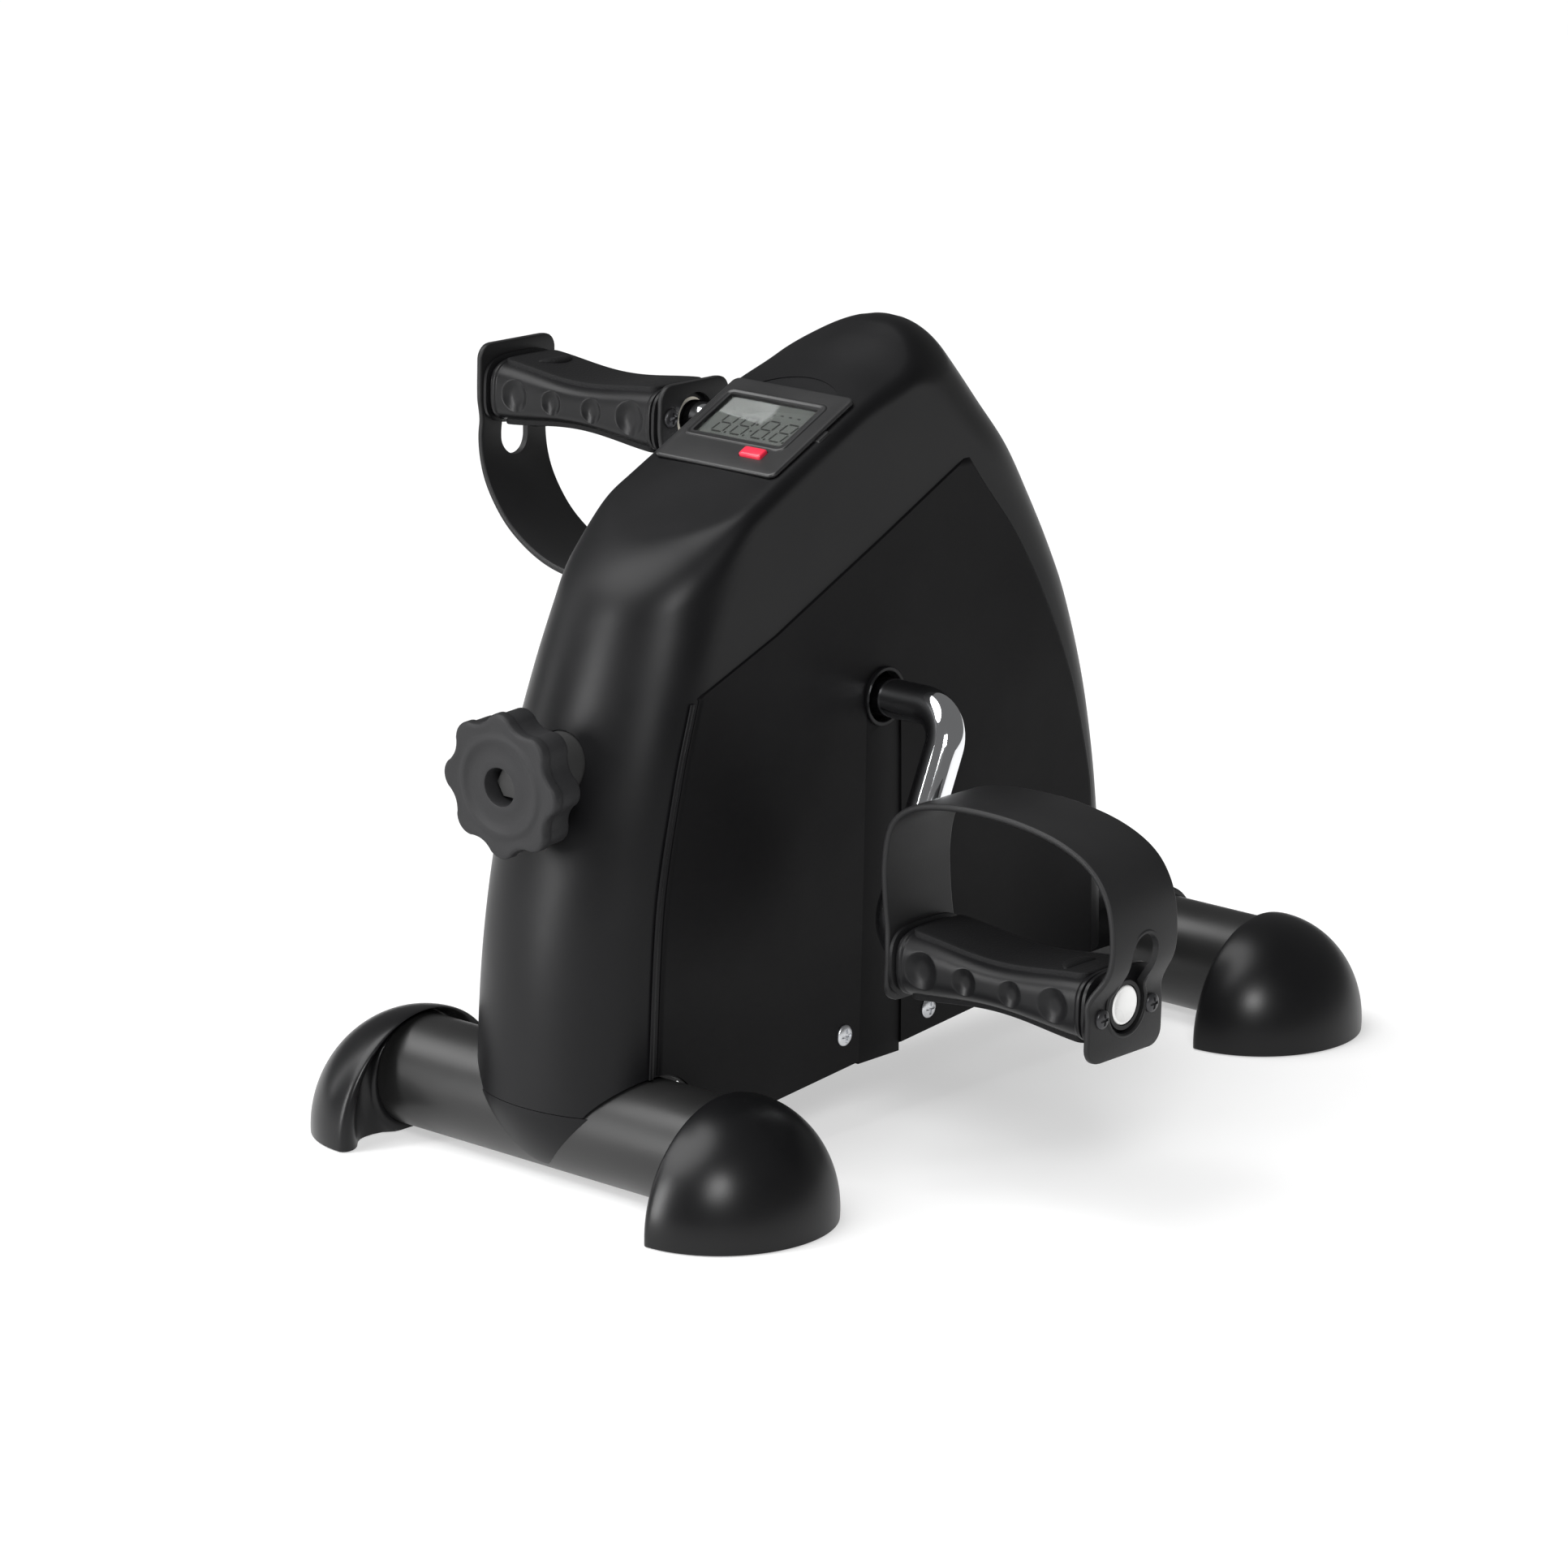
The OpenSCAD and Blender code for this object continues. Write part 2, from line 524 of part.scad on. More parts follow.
// ---------------------------------------------------------------- crank
sleeve_half = 17.5;
sleeve_r = 10.5;
cross_bolt_x = 13;
cross_bolt_r = 2;
spindle_end = pedal_out - 4;
shoulder_x = pedal_in - 0.7;
module arm_frame() {
    at_axle() rotate([-crank_lean, 0, 0]) children();
}
module crank_side() {
    difference() {
        rod_x(1, arm_x - bend_r, rod_r);
        translate([cross_bolt_x, 0, -20]) cylinder(r = cross_bolt_r, h = 40);
    }
    translate([arm_x - bend_r, 0, -bend_r]) rotate([90, 0, 0]) rotate_extrude(angle = 90) translate([bend_r, 0]) circle(rod_r);
    translate([arm_x, 0, bend_r - crank_r]) cylinder(r = rod_r, h = crank_r - 2 * bend_r);
    translate([arm_x + bend_r, 0, bend_r - crank_r]) rotate([90, 0, 0]) rotate([0, 0, 180])
        rotate_extrude(angle = 90) translate([bend_r, 0]) circle(rod_r);
    translate([0, 0, -crank_r]) {
        rod_x(arm_x + bend_r, shoulder_x, rod_r);
        difference() {
            rod_x(shoulder_x, spindle_end, spindle_r);
            rod_x(spindle_end - 12, spindle_end + 1, 2);
        }
    }
}
module crank_right() color(chrome_grey) arm_frame() crank_side();
module crank_left() color(chrome_grey) arm_frame() rotate([0, 180, 0]) crank_side();
module axle_sleeve() color(steel) arm_frame() difference() {
    rod_x(-sleeve_half, sleeve_half, sleeve_r);
    rod_x(-sleeve_half - 1, sleeve_half + 1, rod_r);
    for (x = [-cross_bolt_x, cross_bolt_x]) translate([x, 0, -20]) cylinder(r = cross_bolt_r, h = 40);
}
module crank_bolts() color(steel) arm_frame() for (x = [-cross_bolt_x, cross_bolt_x]) translate([x, 0, 0]) {
    translate([0, 0, -13]) cylinder(r = cross_bolt_r, h = 26);
    difference() {
        translate([0, 0, 8]) cylinder(r = 3.4, h = 5);
        rod_x(-20, 20, sleeve_r);
        translate([0, 0, 12]) cylinder(r = 2, h = 2, $fn = 6);
    }
}
module crank_collars() color(steel) at_axle() for (s = [-1, 1]) mirror([s < 0 ? 1 : 0, 0, 0]) difference() {
    rod_x(bracket_in + plate_t + 2.3, bracket_in + plate_t + 6, 10.5);
    rod_x(0, 60, rod_r);
}
drum_half = 8;
module friction_drum() color("#3a3d40") at_axle() difference() {
    rod_x(-drum_half, drum_half, drum_r);
    rod_x(-drum_half - 1, drum_half + 1, sleeve_r);
    translate([0, 0, 18]) rod_x(drum_half - 2, drum_half + 1, 3);
}
module drum_magnet() color("#8b8f94") at_axle() translate([0, 0, 18]) rod_x(drum_half - 2, drum_half + 2, 3);
module spindle_part() {
    arm_frame() for (a = [0, 180]) rotate([0, a, 0]) translate([0, 0, -crank_r]) children();
}
module spindle_washers() color(steel) spindle_part() difference() {
    rod_x(spindle_end, spindle_end + 1.2, 6.9);
    rod_x(spindle_end - 1, spindle_end + 2, 2);
}
module spindle_screws() color(steel) spindle_part() {
    rod_x(spindle_end - 12, spindle_end + 1.2, 2);
    translate([spindle_end + 1.2, 0, 0]) rotate([0, 90, 0]) cylinder(r1 = 4.2, r2 = 3.2, h = 1.8);
}

// ---------------------------------------------------------------- pedal
// Drawn on its own axis: X is the crank's X, the strap loops over +Z.
flange_t = 2.5;
flange_grow = 1.4;
boss_r = 9.4;
boss_t = 2;
cap_recess_r = 7.2;
bush_r = 8;
bush_len = 12;
screw_at = [14.3, -2];
tread_half = 14;
tread_t = 1.6;
tread_proud = 0.5;
tread_end = 5;
function waist_h(x) = pedal_h / 2 - pedal_waist * sin(180 * (x - pedal_in) / pedal_len) ^ 2;
function waist_line(x0, x1, dz, n) = [for (i = [0:n]) let (x = x0 + (x1 - x0) * i / n) [x, waist_h(x) + dz]];
function flip(p) = [for (i = [len(p) - 1:-1:0]) [p[i][0], -p[i][1]]];
module tread_pad() {
    a = pedal_in + tread_end;
    b = pedal_out - tread_end;
    plate_y(-tread_half, tread_half, concat(waist_line(a, b, tread_proud, 16),
        [for (q = [16:-1:0]) waist_line(a, b, tread_proud - tread_t, 16)[q]]));
}
module pedal_treads() {
    tread_pad();
    rotate([180, 0, 0]) tread_pad();
}
dimples = [[-29, 9.5], [-10.5, 8], [10.5, 8], [29, 9.5]];
dimple_depth = 1.8;
module pedal_body() {
    difference() {
        union() {
            intersection() {
                plate_x(pedal_in, pedal_out, squircle(pedal_w / 2, pedal_h / 2, 3.4, 44));
                plate_y(-pedal_w, pedal_w, concat(waist_line(pedal_in, pedal_out, 0, 16), flip(waist_line(pedal_in, pedal_out, 0, 16))));
            }
            for (x = [pedal_in, pedal_out - flange_t])
                plate_x(x, x + flange_t, squircle(pedal_w / 2 + flange_grow, pedal_h / 2 + flange_grow, 3.4, 44));
            rod_x(pedal_out - 1, pedal_out + boss_t, boss_r);
        }
        rod_x(pedal_in - 1, pedal_out + boss_t + 1, spindle_r + 0.5);
        rod_x(pedal_in - 1, pedal_in + bush_len, bush_r);
        rod_x(spindle_end - bush_len, spindle_end, bush_r);
        rod_x(spindle_end - eps, pedal_out + boss_t + 1, cap_recess_r);
        for (d = dimples) for (s = [-1, 1])
            translate([pedal_mid + d[0], s * (pedal_w / 2 + d[1] - dimple_depth), 0]) sphere(r = d[1]);
        for (s = [-1, 1]) for (e = [pedal_in - 1, pedal_out - 9])
            translate([0, s * screw_at[0], screw_at[1]]) rod_x(e, e + 10, 1.6);
        pedal_treads();
    }
}
module pedal_bushes() {
    for (x = [pedal_in, spindle_end - bush_len]) difference() {
        rod_x(x, x + bush_len, bush_r);
        rod_x(x - 1, x + bush_len + 1, spindle_r + running);
    }
}
strap_foot_in = -14.5;
strap_foot_out = -18;
inner_leg_x = pedal_in - strap_t / 2;
outer_leg_x = pedal_out + strap_t / 2;
// Middle line of the near strap, which stands up, and of the far one, which hangs.
strap_standing = [
    [inner_leg_x, strap_foot_in], [inner_leg_x, -6], [inner_leg_x, 4], [84.2, 22], [83.4, 37], [86, 50], [94, 57.4],
    [107, 61], [124, 62.3], [143, 61.5], [161, 58], [174.5, 51.5], [182, 42], [185, 30], [184.4, 17],
    [outer_leg_x, 5], [outer_leg_x, -3], [outer_leg_x, strap_foot_out]
];
strap_hanging = [
    [inner_leg_x, strap_foot_in], [inner_leg_x, -6], [inner_leg_x, 4], [84.6, 22], [85.4, 38], [90.5, 52],
    [102, 61.5], [118, 65.6], [135, 64.8], [149, 60.6], [162, 52.6], [171, 43], [177, 32], [179.4, 19],
    [outer_leg_x, 5], [outer_leg_x, -3], [outer_leg_x, strap_foot_out]
];
inner_plate_half = 19.5;
outer_plate_half = 21.3;
keyhole_r = 10.2;
keyhole_top = 20;
keyhole_slot_r = 7.5;
module keyhole(x0, x1) {
    rod_x(x0, x1, keyhole_r);
    translate([0, 0, keyhole_top]) rod_x(x0, x1, keyhole_slot_r);
    box([x0, -keyhole_slot_r, 0], [x1, keyhole_slot_r, keyhole_top]);
}
module strap_plate(x, half, foot) {
    plate_x(x, x + strap_t, [
        [-half + 4, foot], [half - 4, foot], [half, foot + 4], [half, 4], [strap_w / 2, 9],
        [strap_w / 2, 1], [-strap_w / 2, 1], [-strap_w / 2, 9], [-half, 4], [-half, foot + 4]
    ]);
}
module foot_strap(middle) {
    line = midpoint_curve(middle, 3);
    difference() {
        union() {
            plate_y(-strap_w / 2, strap_w / 2, ribbon(line, strap_t));
            strap_plate(pedal_in - strap_t, inner_plate_half, strap_foot_in);
            strap_plate(pedal_out, outer_plate_half, strap_foot_out);
        }
        rod_x(pedal_in - 8, pedal_in + 1, keyhole_r);
        keyhole(pedal_out - 1, pedal_out + 14);
        box([pedal_in, -pedal_w, strap_foot_out - 1], [pedal_out, pedal_w, pedal_h / 2 + 2]);
        for (s = [-1, 1]) translate([0, s * screw_at[0], screw_at[1]]) rod_x(pedal_in - 6, pedal_out + 6, 1.6);
    }
}
module strap_screw() {
    rod_x(-9, strap_t, 1.6);
    difference() {
        translate([strap_t, 0, 0]) rotate([0, 90, 0]) cylinder(r1 = 3.4, r2 = 2.6, h = 1.5);
        for (a = [0, 90]) translate([strap_t + 1.3, 0, 0]) rotate([a, 0, 0]) cube([1, 3.4, 0.8], center = true);
    }
}
module strap_screws() {
    for (s = [-1, 1]) {
        translate([pedal_out, s * screw_at[0], screw_at[1]]) strap_screw();
        translate([pedal_in, s * screw_at[0], screw_at[1]]) mirror([1, 0, 0]) strap_screw();
    }
}
module pedal_cap() {
    rod_x(pedal_out + boss_t - 1.6, pedal_out + boss_t, cap_recess_r);
}
module right_pedal() {
    translate([0, pedal_y, pedal_z]) children();
}
module left_pedal() {
    translate([0, left_pedal_y, left_pedal_z]) rotate([0, 180, 0]) children();
}
module pedal_body_right() color(black) right_pedal() pedal_body();
module pedal_treads_right() color(rubber_black) right_pedal() pedal_treads();
module pedal_bushes_right() color("#c9c2ae") right_pedal() pedal_bushes();
module foot_strap_right() color(rubber_black) right_pedal() foot_strap(strap_standing);
module strap_screws_right() color(satin_black) right_pedal() strap_screws();
module pedal_cap_right() color("white") right_pedal() pedal_cap();
module pedal_body_left() color(black) left_pedal() pedal_body();
module pedal_treads_left() color(rubber_black) left_pedal() pedal_treads();
module pedal_bushes_left() color("#c9c2ae") left_pedal() pedal_bushes();
module foot_strap_left() color(rubber_black) left_pedal() foot_strap(strap_hanging);
module strap_screws_left() color(satin_black) left_pedal() strap_screws();
module pedal_cap_left() color("white") left_pedal() pedal_cap();

// ---------------------------------------------------------------- brake
screw_r = 3;
knob_wave = 1.8;
hub_r = 12.5;
well_r = 7;
well_deep = 9;
screw_tip = 42;
function knob_outline() = [for (i = [0:95]) let (a = 360 * i / 96, r = knob_d / 2 + knob_wave * cos(knob_lobes * a))
    [r * sin(a), r * cos(a)]];
module tension_knob() color("#3a3a3c") brake_frame() difference() {
    union() {
        translate([0, -knob_reach + knob_t, 0]) rotate([90, 0, 0]) linear_extrude(knob_t) polygon(knob_outline());
        rod_y(-knob_reach + knob_t - 1, -hub_end, hub_r);
    }
    rod_y(-knob_reach - 1, -knob_reach + well_deep, well_r);
    rod_y(-knob_reach, -hub_end + 1, screw_r);
}
module tension_screw() color(steel) brake_frame() {
    rod_y(-knob_reach + well_deep, -screw_tip, screw_r);
    translate([0, -knob_reach + well_deep - 3.5, 0]) rotate([-90, 0, 0]) cylinder(r = 5.6, h = 3.5, $fn = 6);
}
band_gap = 1.8;
band_t = 2.4;
band_half = 7;
yoke_near = 52;
yoke_far = 60;
yoke_half = drum_r + band_gap;
module tension_yoke() color(steel) brake_frame() difference() {
    box([-9, -yoke_far, -yoke_half], [9, -yoke_near, yoke_half]);
    rod_y(-yoke_far - 1, -yoke_near + 1, screw_r + running);
    for (z = [-1, 1]) translate([0, -(yoke_near + yoke_far) / 2, z * (yoke_half + band_t)]) cylinder(r = 1.5, h = 14, center = true);
}
module stadium(half, r, back) {
    rod_x(-half, half, r);
    box([-half, -back, -r], [half, 0, r]);
}
module brake_strap() color("#6d5a44") brake_frame() difference() {
    stadium(band_half, yoke_half + band_t, yoke_far);
    stadium(band_half + 1, yoke_half, yoke_far + 1);
    translate([0, -(yoke_near + yoke_far) / 2, -40]) cylinder(r = 1.5, h = 80);
}
module strap_rivets() color(steel) brake_frame() for (s = [-1, 1]) mirror([0, 0, s < 0 ? 1 : 0])
    translate([0, -(yoke_near + yoke_far) / 2, 0]) {
        translate([0, 0, yoke_half + band_t - 7]) cylinder(r = 1.5, h = 7);
        translate([0, 0, yoke_half + band_t]) cylinder(r1 = 3, r2 = 2, h = 1.2);
    }

front_tube();
rear_tube();
base_beam();
shell_brackets();
axle_bracket();
knob_post();
bearing_right();
bearing_left();
housing();
slot_cover_right();
slot_cover_left();
housing_screws();
front_saddle();
rear_saddle();
frame_bolts();
frame_nuts();
cap_front_right();
cap_front_left();
cap_rear_right();
cap_rear_left();
knob_bushing();
monitor_case();
monitor_face();
monitor_lens();
lcd_panel();
monitor_board();
monitor_battery();
reed_sensor();
sensor_lead();
crank_right();
crank_left();
axle_sleeve();
crank_bolts();
crank_collars();
friction_drum();
drum_magnet();
spindle_washers();
spindle_screws();
pedal_body_right();
pedal_treads_right();
pedal_bushes_right();
foot_strap_right();
strap_screws_right();
pedal_cap_right();
pedal_body_left();
pedal_treads_left();
pedal_bushes_left();
foot_strap_left();
strap_screws_left();
pedal_cap_left();
tension_knob();
tension_screw();
tension_yoke();
brake_strap();
strap_rivets();
reset_button();
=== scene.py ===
"""Looks for a desktop pedal exerciser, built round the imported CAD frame.

Lengths are millimetres, and every piece is scaled to metres when its mesh is
made. The camera, the lights and the floor are placed in metres.
"""
import json
import math
from contextlib import contextmanager

import bmesh
import bpy
import numpy as np
from mathutils import Matrix, Vector


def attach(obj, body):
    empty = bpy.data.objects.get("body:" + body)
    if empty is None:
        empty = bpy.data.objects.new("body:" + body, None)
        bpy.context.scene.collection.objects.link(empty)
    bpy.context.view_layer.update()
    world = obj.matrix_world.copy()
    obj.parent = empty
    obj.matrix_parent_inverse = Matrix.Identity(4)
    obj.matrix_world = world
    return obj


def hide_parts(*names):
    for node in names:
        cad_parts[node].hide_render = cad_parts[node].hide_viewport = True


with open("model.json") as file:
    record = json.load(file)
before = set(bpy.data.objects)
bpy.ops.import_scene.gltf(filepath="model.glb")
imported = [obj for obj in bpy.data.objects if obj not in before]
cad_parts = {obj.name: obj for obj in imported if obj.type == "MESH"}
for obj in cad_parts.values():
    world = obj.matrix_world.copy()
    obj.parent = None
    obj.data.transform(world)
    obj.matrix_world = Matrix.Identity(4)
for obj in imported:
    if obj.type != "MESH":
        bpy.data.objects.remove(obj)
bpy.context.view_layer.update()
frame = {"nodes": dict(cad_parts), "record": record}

MM = 0.001

# ---- driving sizes
# Foot tubes and end caps
FOOT_Y = 160.0
TUBE_R = 21.0
TUBE_Z = 22.0
TUBE_HALF = 82.0
CAP_RIM_X = 74.0
CAP_R = 42.9
CAP_Z = 2.4
CAP_DOME = 38.0
# Cranks
AXLE = np.array([0.0, -36.0, 161.0])
CRANK_R = 87.0
CRANK_LEAN = math.radians(23.75)
ROD_R = 7.25
ARM_X = 71.0
BEND_R = 14.0
SPINDLE_R = 6.0
# Pedals and foot straps
PEDAL_IN = 88.0
PEDAL_LEN = 88.5
PEDAL_OUT = PEDAL_IN + PEDAL_LEN
PEDAL_W = 38.0
PEDAL_H = 24.5
PEDAL_WAIST = 3.6
BOSS_R = 10.2
STRAP_T = 2.6
STRAP_HALF = 18.5
INNER_PLATE_HALF = 19.5
OUTER_PLATE_HALF = 21.3
STRAP_FOOT_IN = -14.5
STRAP_FOOT_OUT = -18.0
STRAP_SCREW = (14.3, -2.0)
# Brake and knob
BRAKE_AIM = math.radians(3.8)
KNOB_REACH = 165.0
HUB_END = 143.0
# Monitor
MONITOR_AT = np.array([0.0, -67.9, 260.4])
MONITOR_TILT = math.radians(26.0)
MONITOR_W = 56.6
MONITOR_L = 50.5
MONITOR_RISE = 2.4
# Housing screws
SCREW_Y = (-57.0, -8.0)
SCREW_Z = 37.0

PEDAL_AT = AXLE - CRANK_R * np.array([0.0, math.sin(CRANK_LEAN), math.cos(CRANK_LEAN)])
LEFT_PEDAL_AT = 2 * AXLE - PEDAL_AT


def add_object(name, data):
    obj = bpy.data.objects.new(name, data)
    bpy.context.scene.collection.objects.link(obj)
    return obj


# ---- camera
CAMERA_AT = (1.3535, -1.6668, 0.6841)
CAMERA_AZIMUTH = math.radians(39.86)
CAMERA_ELEVATION = math.radians(14.895)
CAMERA_ROLL = math.radians(1.441)
CAMERA_LENS = 136.2


def make_camera():
    az, el, roll = CAMERA_AZIMUTH, CAMERA_ELEVATION, CAMERA_ROLL
    back = Vector((math.sin(az) * math.cos(el), -math.cos(az) * math.cos(el), math.sin(el)))
    right = Vector((math.cos(az), math.sin(az), 0.0))
    up = back.cross(right)
    rolled_right = math.cos(roll) * right + math.sin(roll) * up
    rolled_up = -math.sin(roll) * right + math.cos(roll) * up
    turn = Matrix((rolled_right, rolled_up, back)).transposed()
    data = bpy.data.cameras.new("camera")
    data.lens = CAMERA_LENS
    data.sensor_width = 36.0
    data.clip_end = 50.0
    camera = add_object("camera", data)
    camera.matrix_world = Matrix.Translation(CAMERA_AT) @ turn.to_4x4()
    bpy.context.scene.camera = camera


make_camera()


# ---- materials
def shader(name, color, roughness, metallic=0.0, coat=0.0, ior=1.5, specular=0.5):
    """A new Principled material: (material, nodes, links, principled node)."""
    mat = bpy.data.materials.new(name)
    mat.use_nodes = True
    tree = mat.node_tree
    bsdf = tree.nodes["Principled BSDF"]
    values = {"Base Color": (*color, 1.0), "Roughness": roughness, "Metallic": metallic, "IOR": ior,
              "Specular IOR Level": specular, "Coat Weight": coat, "Coat Roughness": 0.1}
    for key, value in values.items():
        bsdf.inputs[key].default_value = value
    return mat, tree.nodes, tree.links, bsdf


def add_node(tree_nodes, kind, **inputs):
    """A new shader node with inputs set by name, an underscore standing for each space."""
    made = tree_nodes.new("ShaderNode" + kind)
    for key, value in inputs.items():
        made.inputs[key.replace("_", " ")].default_value = value
    return made


def object_space(tree_nodes):
    return add_node(tree_nodes, "TexCoord").outputs["Object"]


def noise(tree_nodes, links, scale, detail, where):
    """Noise at `scale` features to the metre."""
    tex = add_node(tree_nodes, "TexNoise", Scale=scale, Detail=detail)
    links.new(where, tex.inputs["Vector"])
    return tex.outputs["Fac"]


def ramp(tree_nodes, links, source, low, high):
    """Maps the middle third of a 0..1 source onto low..high."""
    span = add_node(tree_nodes, "MapRange", From_Min=0.35, From_Max=0.65, To_Min=low, To_Max=high)
    links.new(source, span.inputs["Value"])
    return span.outputs["Result"]


def bump(tree_nodes, links, height, depth):
    """Bump node fed by a height, `depth` mm deep."""
    node = add_node(tree_nodes, "Bump", Strength=1.0, Distance=depth * MM)
    links.new(height, node.inputs["Height"])
    return node


def moulded(name, color, roughness, grain=2600.0, grain_depth=0.02, vary=0.05, shade=0.12, coat=0.0,
            stretch=(1.0, 1.0, 1.0), metallic=0.0, specular=0.5):
    """Moulded or painted surface: fine grain, uneven gloss and slight colour drift."""
    mat, tree_nodes, links, bsdf = shader(name, color, roughness, metallic, coat, specular=specular)
    where = object_space(tree_nodes)
    smears = noise(tree_nodes, links, 18.0, 4.0, where)
    gloss = ramp(tree_nodes, links, smears, roughness - vary, roughness + vary)
    links.new(gloss, bsdf.inputs["Roughness"])
    tint = add_node(tree_nodes, "Mix")
    tint.data_type = "RGBA"
    links.new(ramp(tree_nodes, links, smears, 0.0, 1.0), tint.inputs["Factor"])
    for key, change in (("A", 1 - shade), ("B", 1 + shade)):
        tint.inputs[key].default_value = (*[c * change for c in color], 1.0)
    links.new(tint.outputs["Result"], bsdf.inputs["Base Color"])
    stretched = add_node(tree_nodes, "Mapping", Scale=stretch)
    links.new(where, stretched.inputs["Vector"])
    fine = noise(tree_nodes, links, grain, 3.0, stretched.outputs["Vector"])
    links.new(bump(tree_nodes, links, fine, grain_depth).outputs["Normal"], bsdf.inputs["Normal"])
    return mat


def stippled(name, color, roughness, pitch, depth, specular):
    """Rubber with a raised dot grain."""
    mat = moulded(name, color, roughness, grain=3000.0, grain_depth=0.01, specular=specular)
    tree_nodes, links = mat.node_tree.nodes, mat.node_tree.links
    grain = next(n for n in tree_nodes if n.type == "BUMP")
    cells = add_node(tree_nodes, "TexVoronoi", Scale=1.0 / (pitch * MM))
    links.new(object_space(tree_nodes), cells.inputs["Vector"])
    dots = bump(tree_nodes, links, cells.outputs["Distance"], depth)
    dots.invert = True
    links.new(dots.outputs["Normal"], grain.inputs["Normal"])
    return mat


def woven(name, color, roughness, pitch):
    """Webbing with crossing yarns."""
    mat, tree_nodes, links, bsdf = shader(name, color, roughness)
    where = object_space(tree_nodes)
    both = add_node(tree_nodes, "Math")
    both.operation = "MAXIMUM"
    for axis, height in zip("XZ", both.inputs):
        wave = add_node(tree_nodes, "TexWave", Scale=1.0 / (pitch * MM * 20.0))
        wave.bands_direction = axis
        links.new(where, wave.inputs["Vector"])
        links.new(wave.outputs["Fac"], height)
    yarns = bump(tree_nodes, links, both.outputs["Value"], 0.2)
    links.new(yarns.outputs["Normal"], bsdf.inputs["Normal"])
    return mat


def clear(name, color, roughness, ior):
    mat, _, _, bsdf = shader(name, color, roughness, ior=ior)
    bsdf.inputs["Transmission Weight"].default_value = 1.0
    return mat


MATERIALS = {
    "satin_black_plastic": moulded("shell_plastic", (0.0045, 0.0045, 0.005), 0.38, grain_depth=0.012,
                                   specular=0.18),
    "side_panel": moulded("panel_plastic", (0.0032, 0.0031, 0.0035), 0.5, grain=1900.0, grain_depth=0.03,
                          specular=0.1),
    "cap_plastic": moulded("cap_plastic", (0.005, 0.005, 0.0055), 0.34, grain_depth=0.012, specular=0.26),
    "black_paint": moulded("tube_paint", (0.012, 0.012, 0.012), 0.36, grain=900.0, grain_depth=0.01,
                           specular=0.4),
    "frame_steel": moulded("frame_enamel", (0.03, 0.03, 0.032), 0.4, grain=900.0),
    "chrome_rod": moulded("chrome", (0.86, 0.87, 0.89), 0.07, grain=700.0, grain_depth=0.002, vary=0.03,
                          shade=0.02, metallic=1.0),
    "zinc_steel": moulded("zinc", (0.62, 0.63, 0.65), 0.3, grain=1800.0, grain_depth=0.01, vary=0.08,
                          metallic=1.0),
    "dark_steel": moulded("black_oxide", (0.05, 0.05, 0.053), 0.34, grain=1800.0, grain_depth=0.01,
                          metallic=0.5, specular=0.3),
    "bearing_plastic": moulded("nylon", (0.7, 0.66, 0.56), 0.45),
    "knob_plastic": moulded("knob_plastic", (0.018, 0.018, 0.019), 0.5, grain=1500.0, grain_depth=0.035,
                            specular=0.2),
    "pedal_plastic": moulded("pedal_plastic", (0.006, 0.006, 0.0065), 0.36, grain_depth=0.015, specular=0.2),
    "tread_rubber": stippled("tread_rubber", (0.008, 0.008, 0.0085), 0.62, 0.9, 0.1, 0.14),
    "strap_rubber": moulded("strap_rubber", (0.012, 0.012, 0.0125), 0.48, grain=1600.0, grain_depth=0.03,
                            specular=0.24),
    "disc_plastic": moulded("disc_plastic", (0.86, 0.86, 0.85), 0.3, grain_depth=0.005, shade=0.02),
    "monitor_plastic": moulded("monitor_plastic", (0.014, 0.014, 0.0145), 0.34, grain_depth=0.01,
                               specular=0.45),
    "lcd": moulded("lcd_glass", (0.16, 0.165, 0.158), 0.6, grain_depth=0.0, shade=0.03, specular=0.05),
    "board": moulded("solder_mask", (0.05, 0.24, 0.12), 0.35),
    "battery": moulded("battery_can", (0.5, 0.4, 0.2), 0.3, metallic=0.5),
    "sensor_black": moulded("potting", (0.02, 0.02, 0.02), 0.5),
    "cable_jacket": moulded("cable_jacket", (0.02, 0.02, 0.02), 0.45),
    "drum": moulded("cast_drum", (0.2, 0.2, 0.21), 0.42, grain=600.0, grain_depth=0.05, metallic=0.8,
                    stretch=(8.0, 1.0, 1.0)),
    "magnet": moulded("nickel", (0.6, 0.58, 0.54), 0.2, metallic=1.0),
    "brake_web": woven("brake_web", (0.16, 0.11, 0.07), 0.8, 0.8),
    "button_red": moulded("button_red", (0.62, 0.02, 0.05), 0.28, grain_depth=0.005, coat=0.2),
    "lcd_ink": moulded("lcd_ink", (0.03, 0.032, 0.03), 0.6, grain_depth=0.0, specular=0.05),
    "clear_lens": clear("clear_lens", (0.92, 0.94, 0.93), 0.05, 1.46),
}


# ---- mesh helpers
@contextmanager
def edited(mesh):
    """A bmesh copy of the mesh, written back when the block ends."""
    work = bmesh.new()
    work.from_mesh(mesh)
    yield work
    work.to_mesh(mesh)
    work.free()


def set_smooth(obj, angle):
    """Smooth shading, with edges sharper than `angle` degrees kept crisp."""
    limit = math.radians(angle)
    with edited(obj.data) as work:
        for face in work.faces:
            face.smooth = True
        for edge in work.edges:
            edge.smooth = len(edge.link_faces) == 2 and edge.calc_face_angle(0.0) < limit


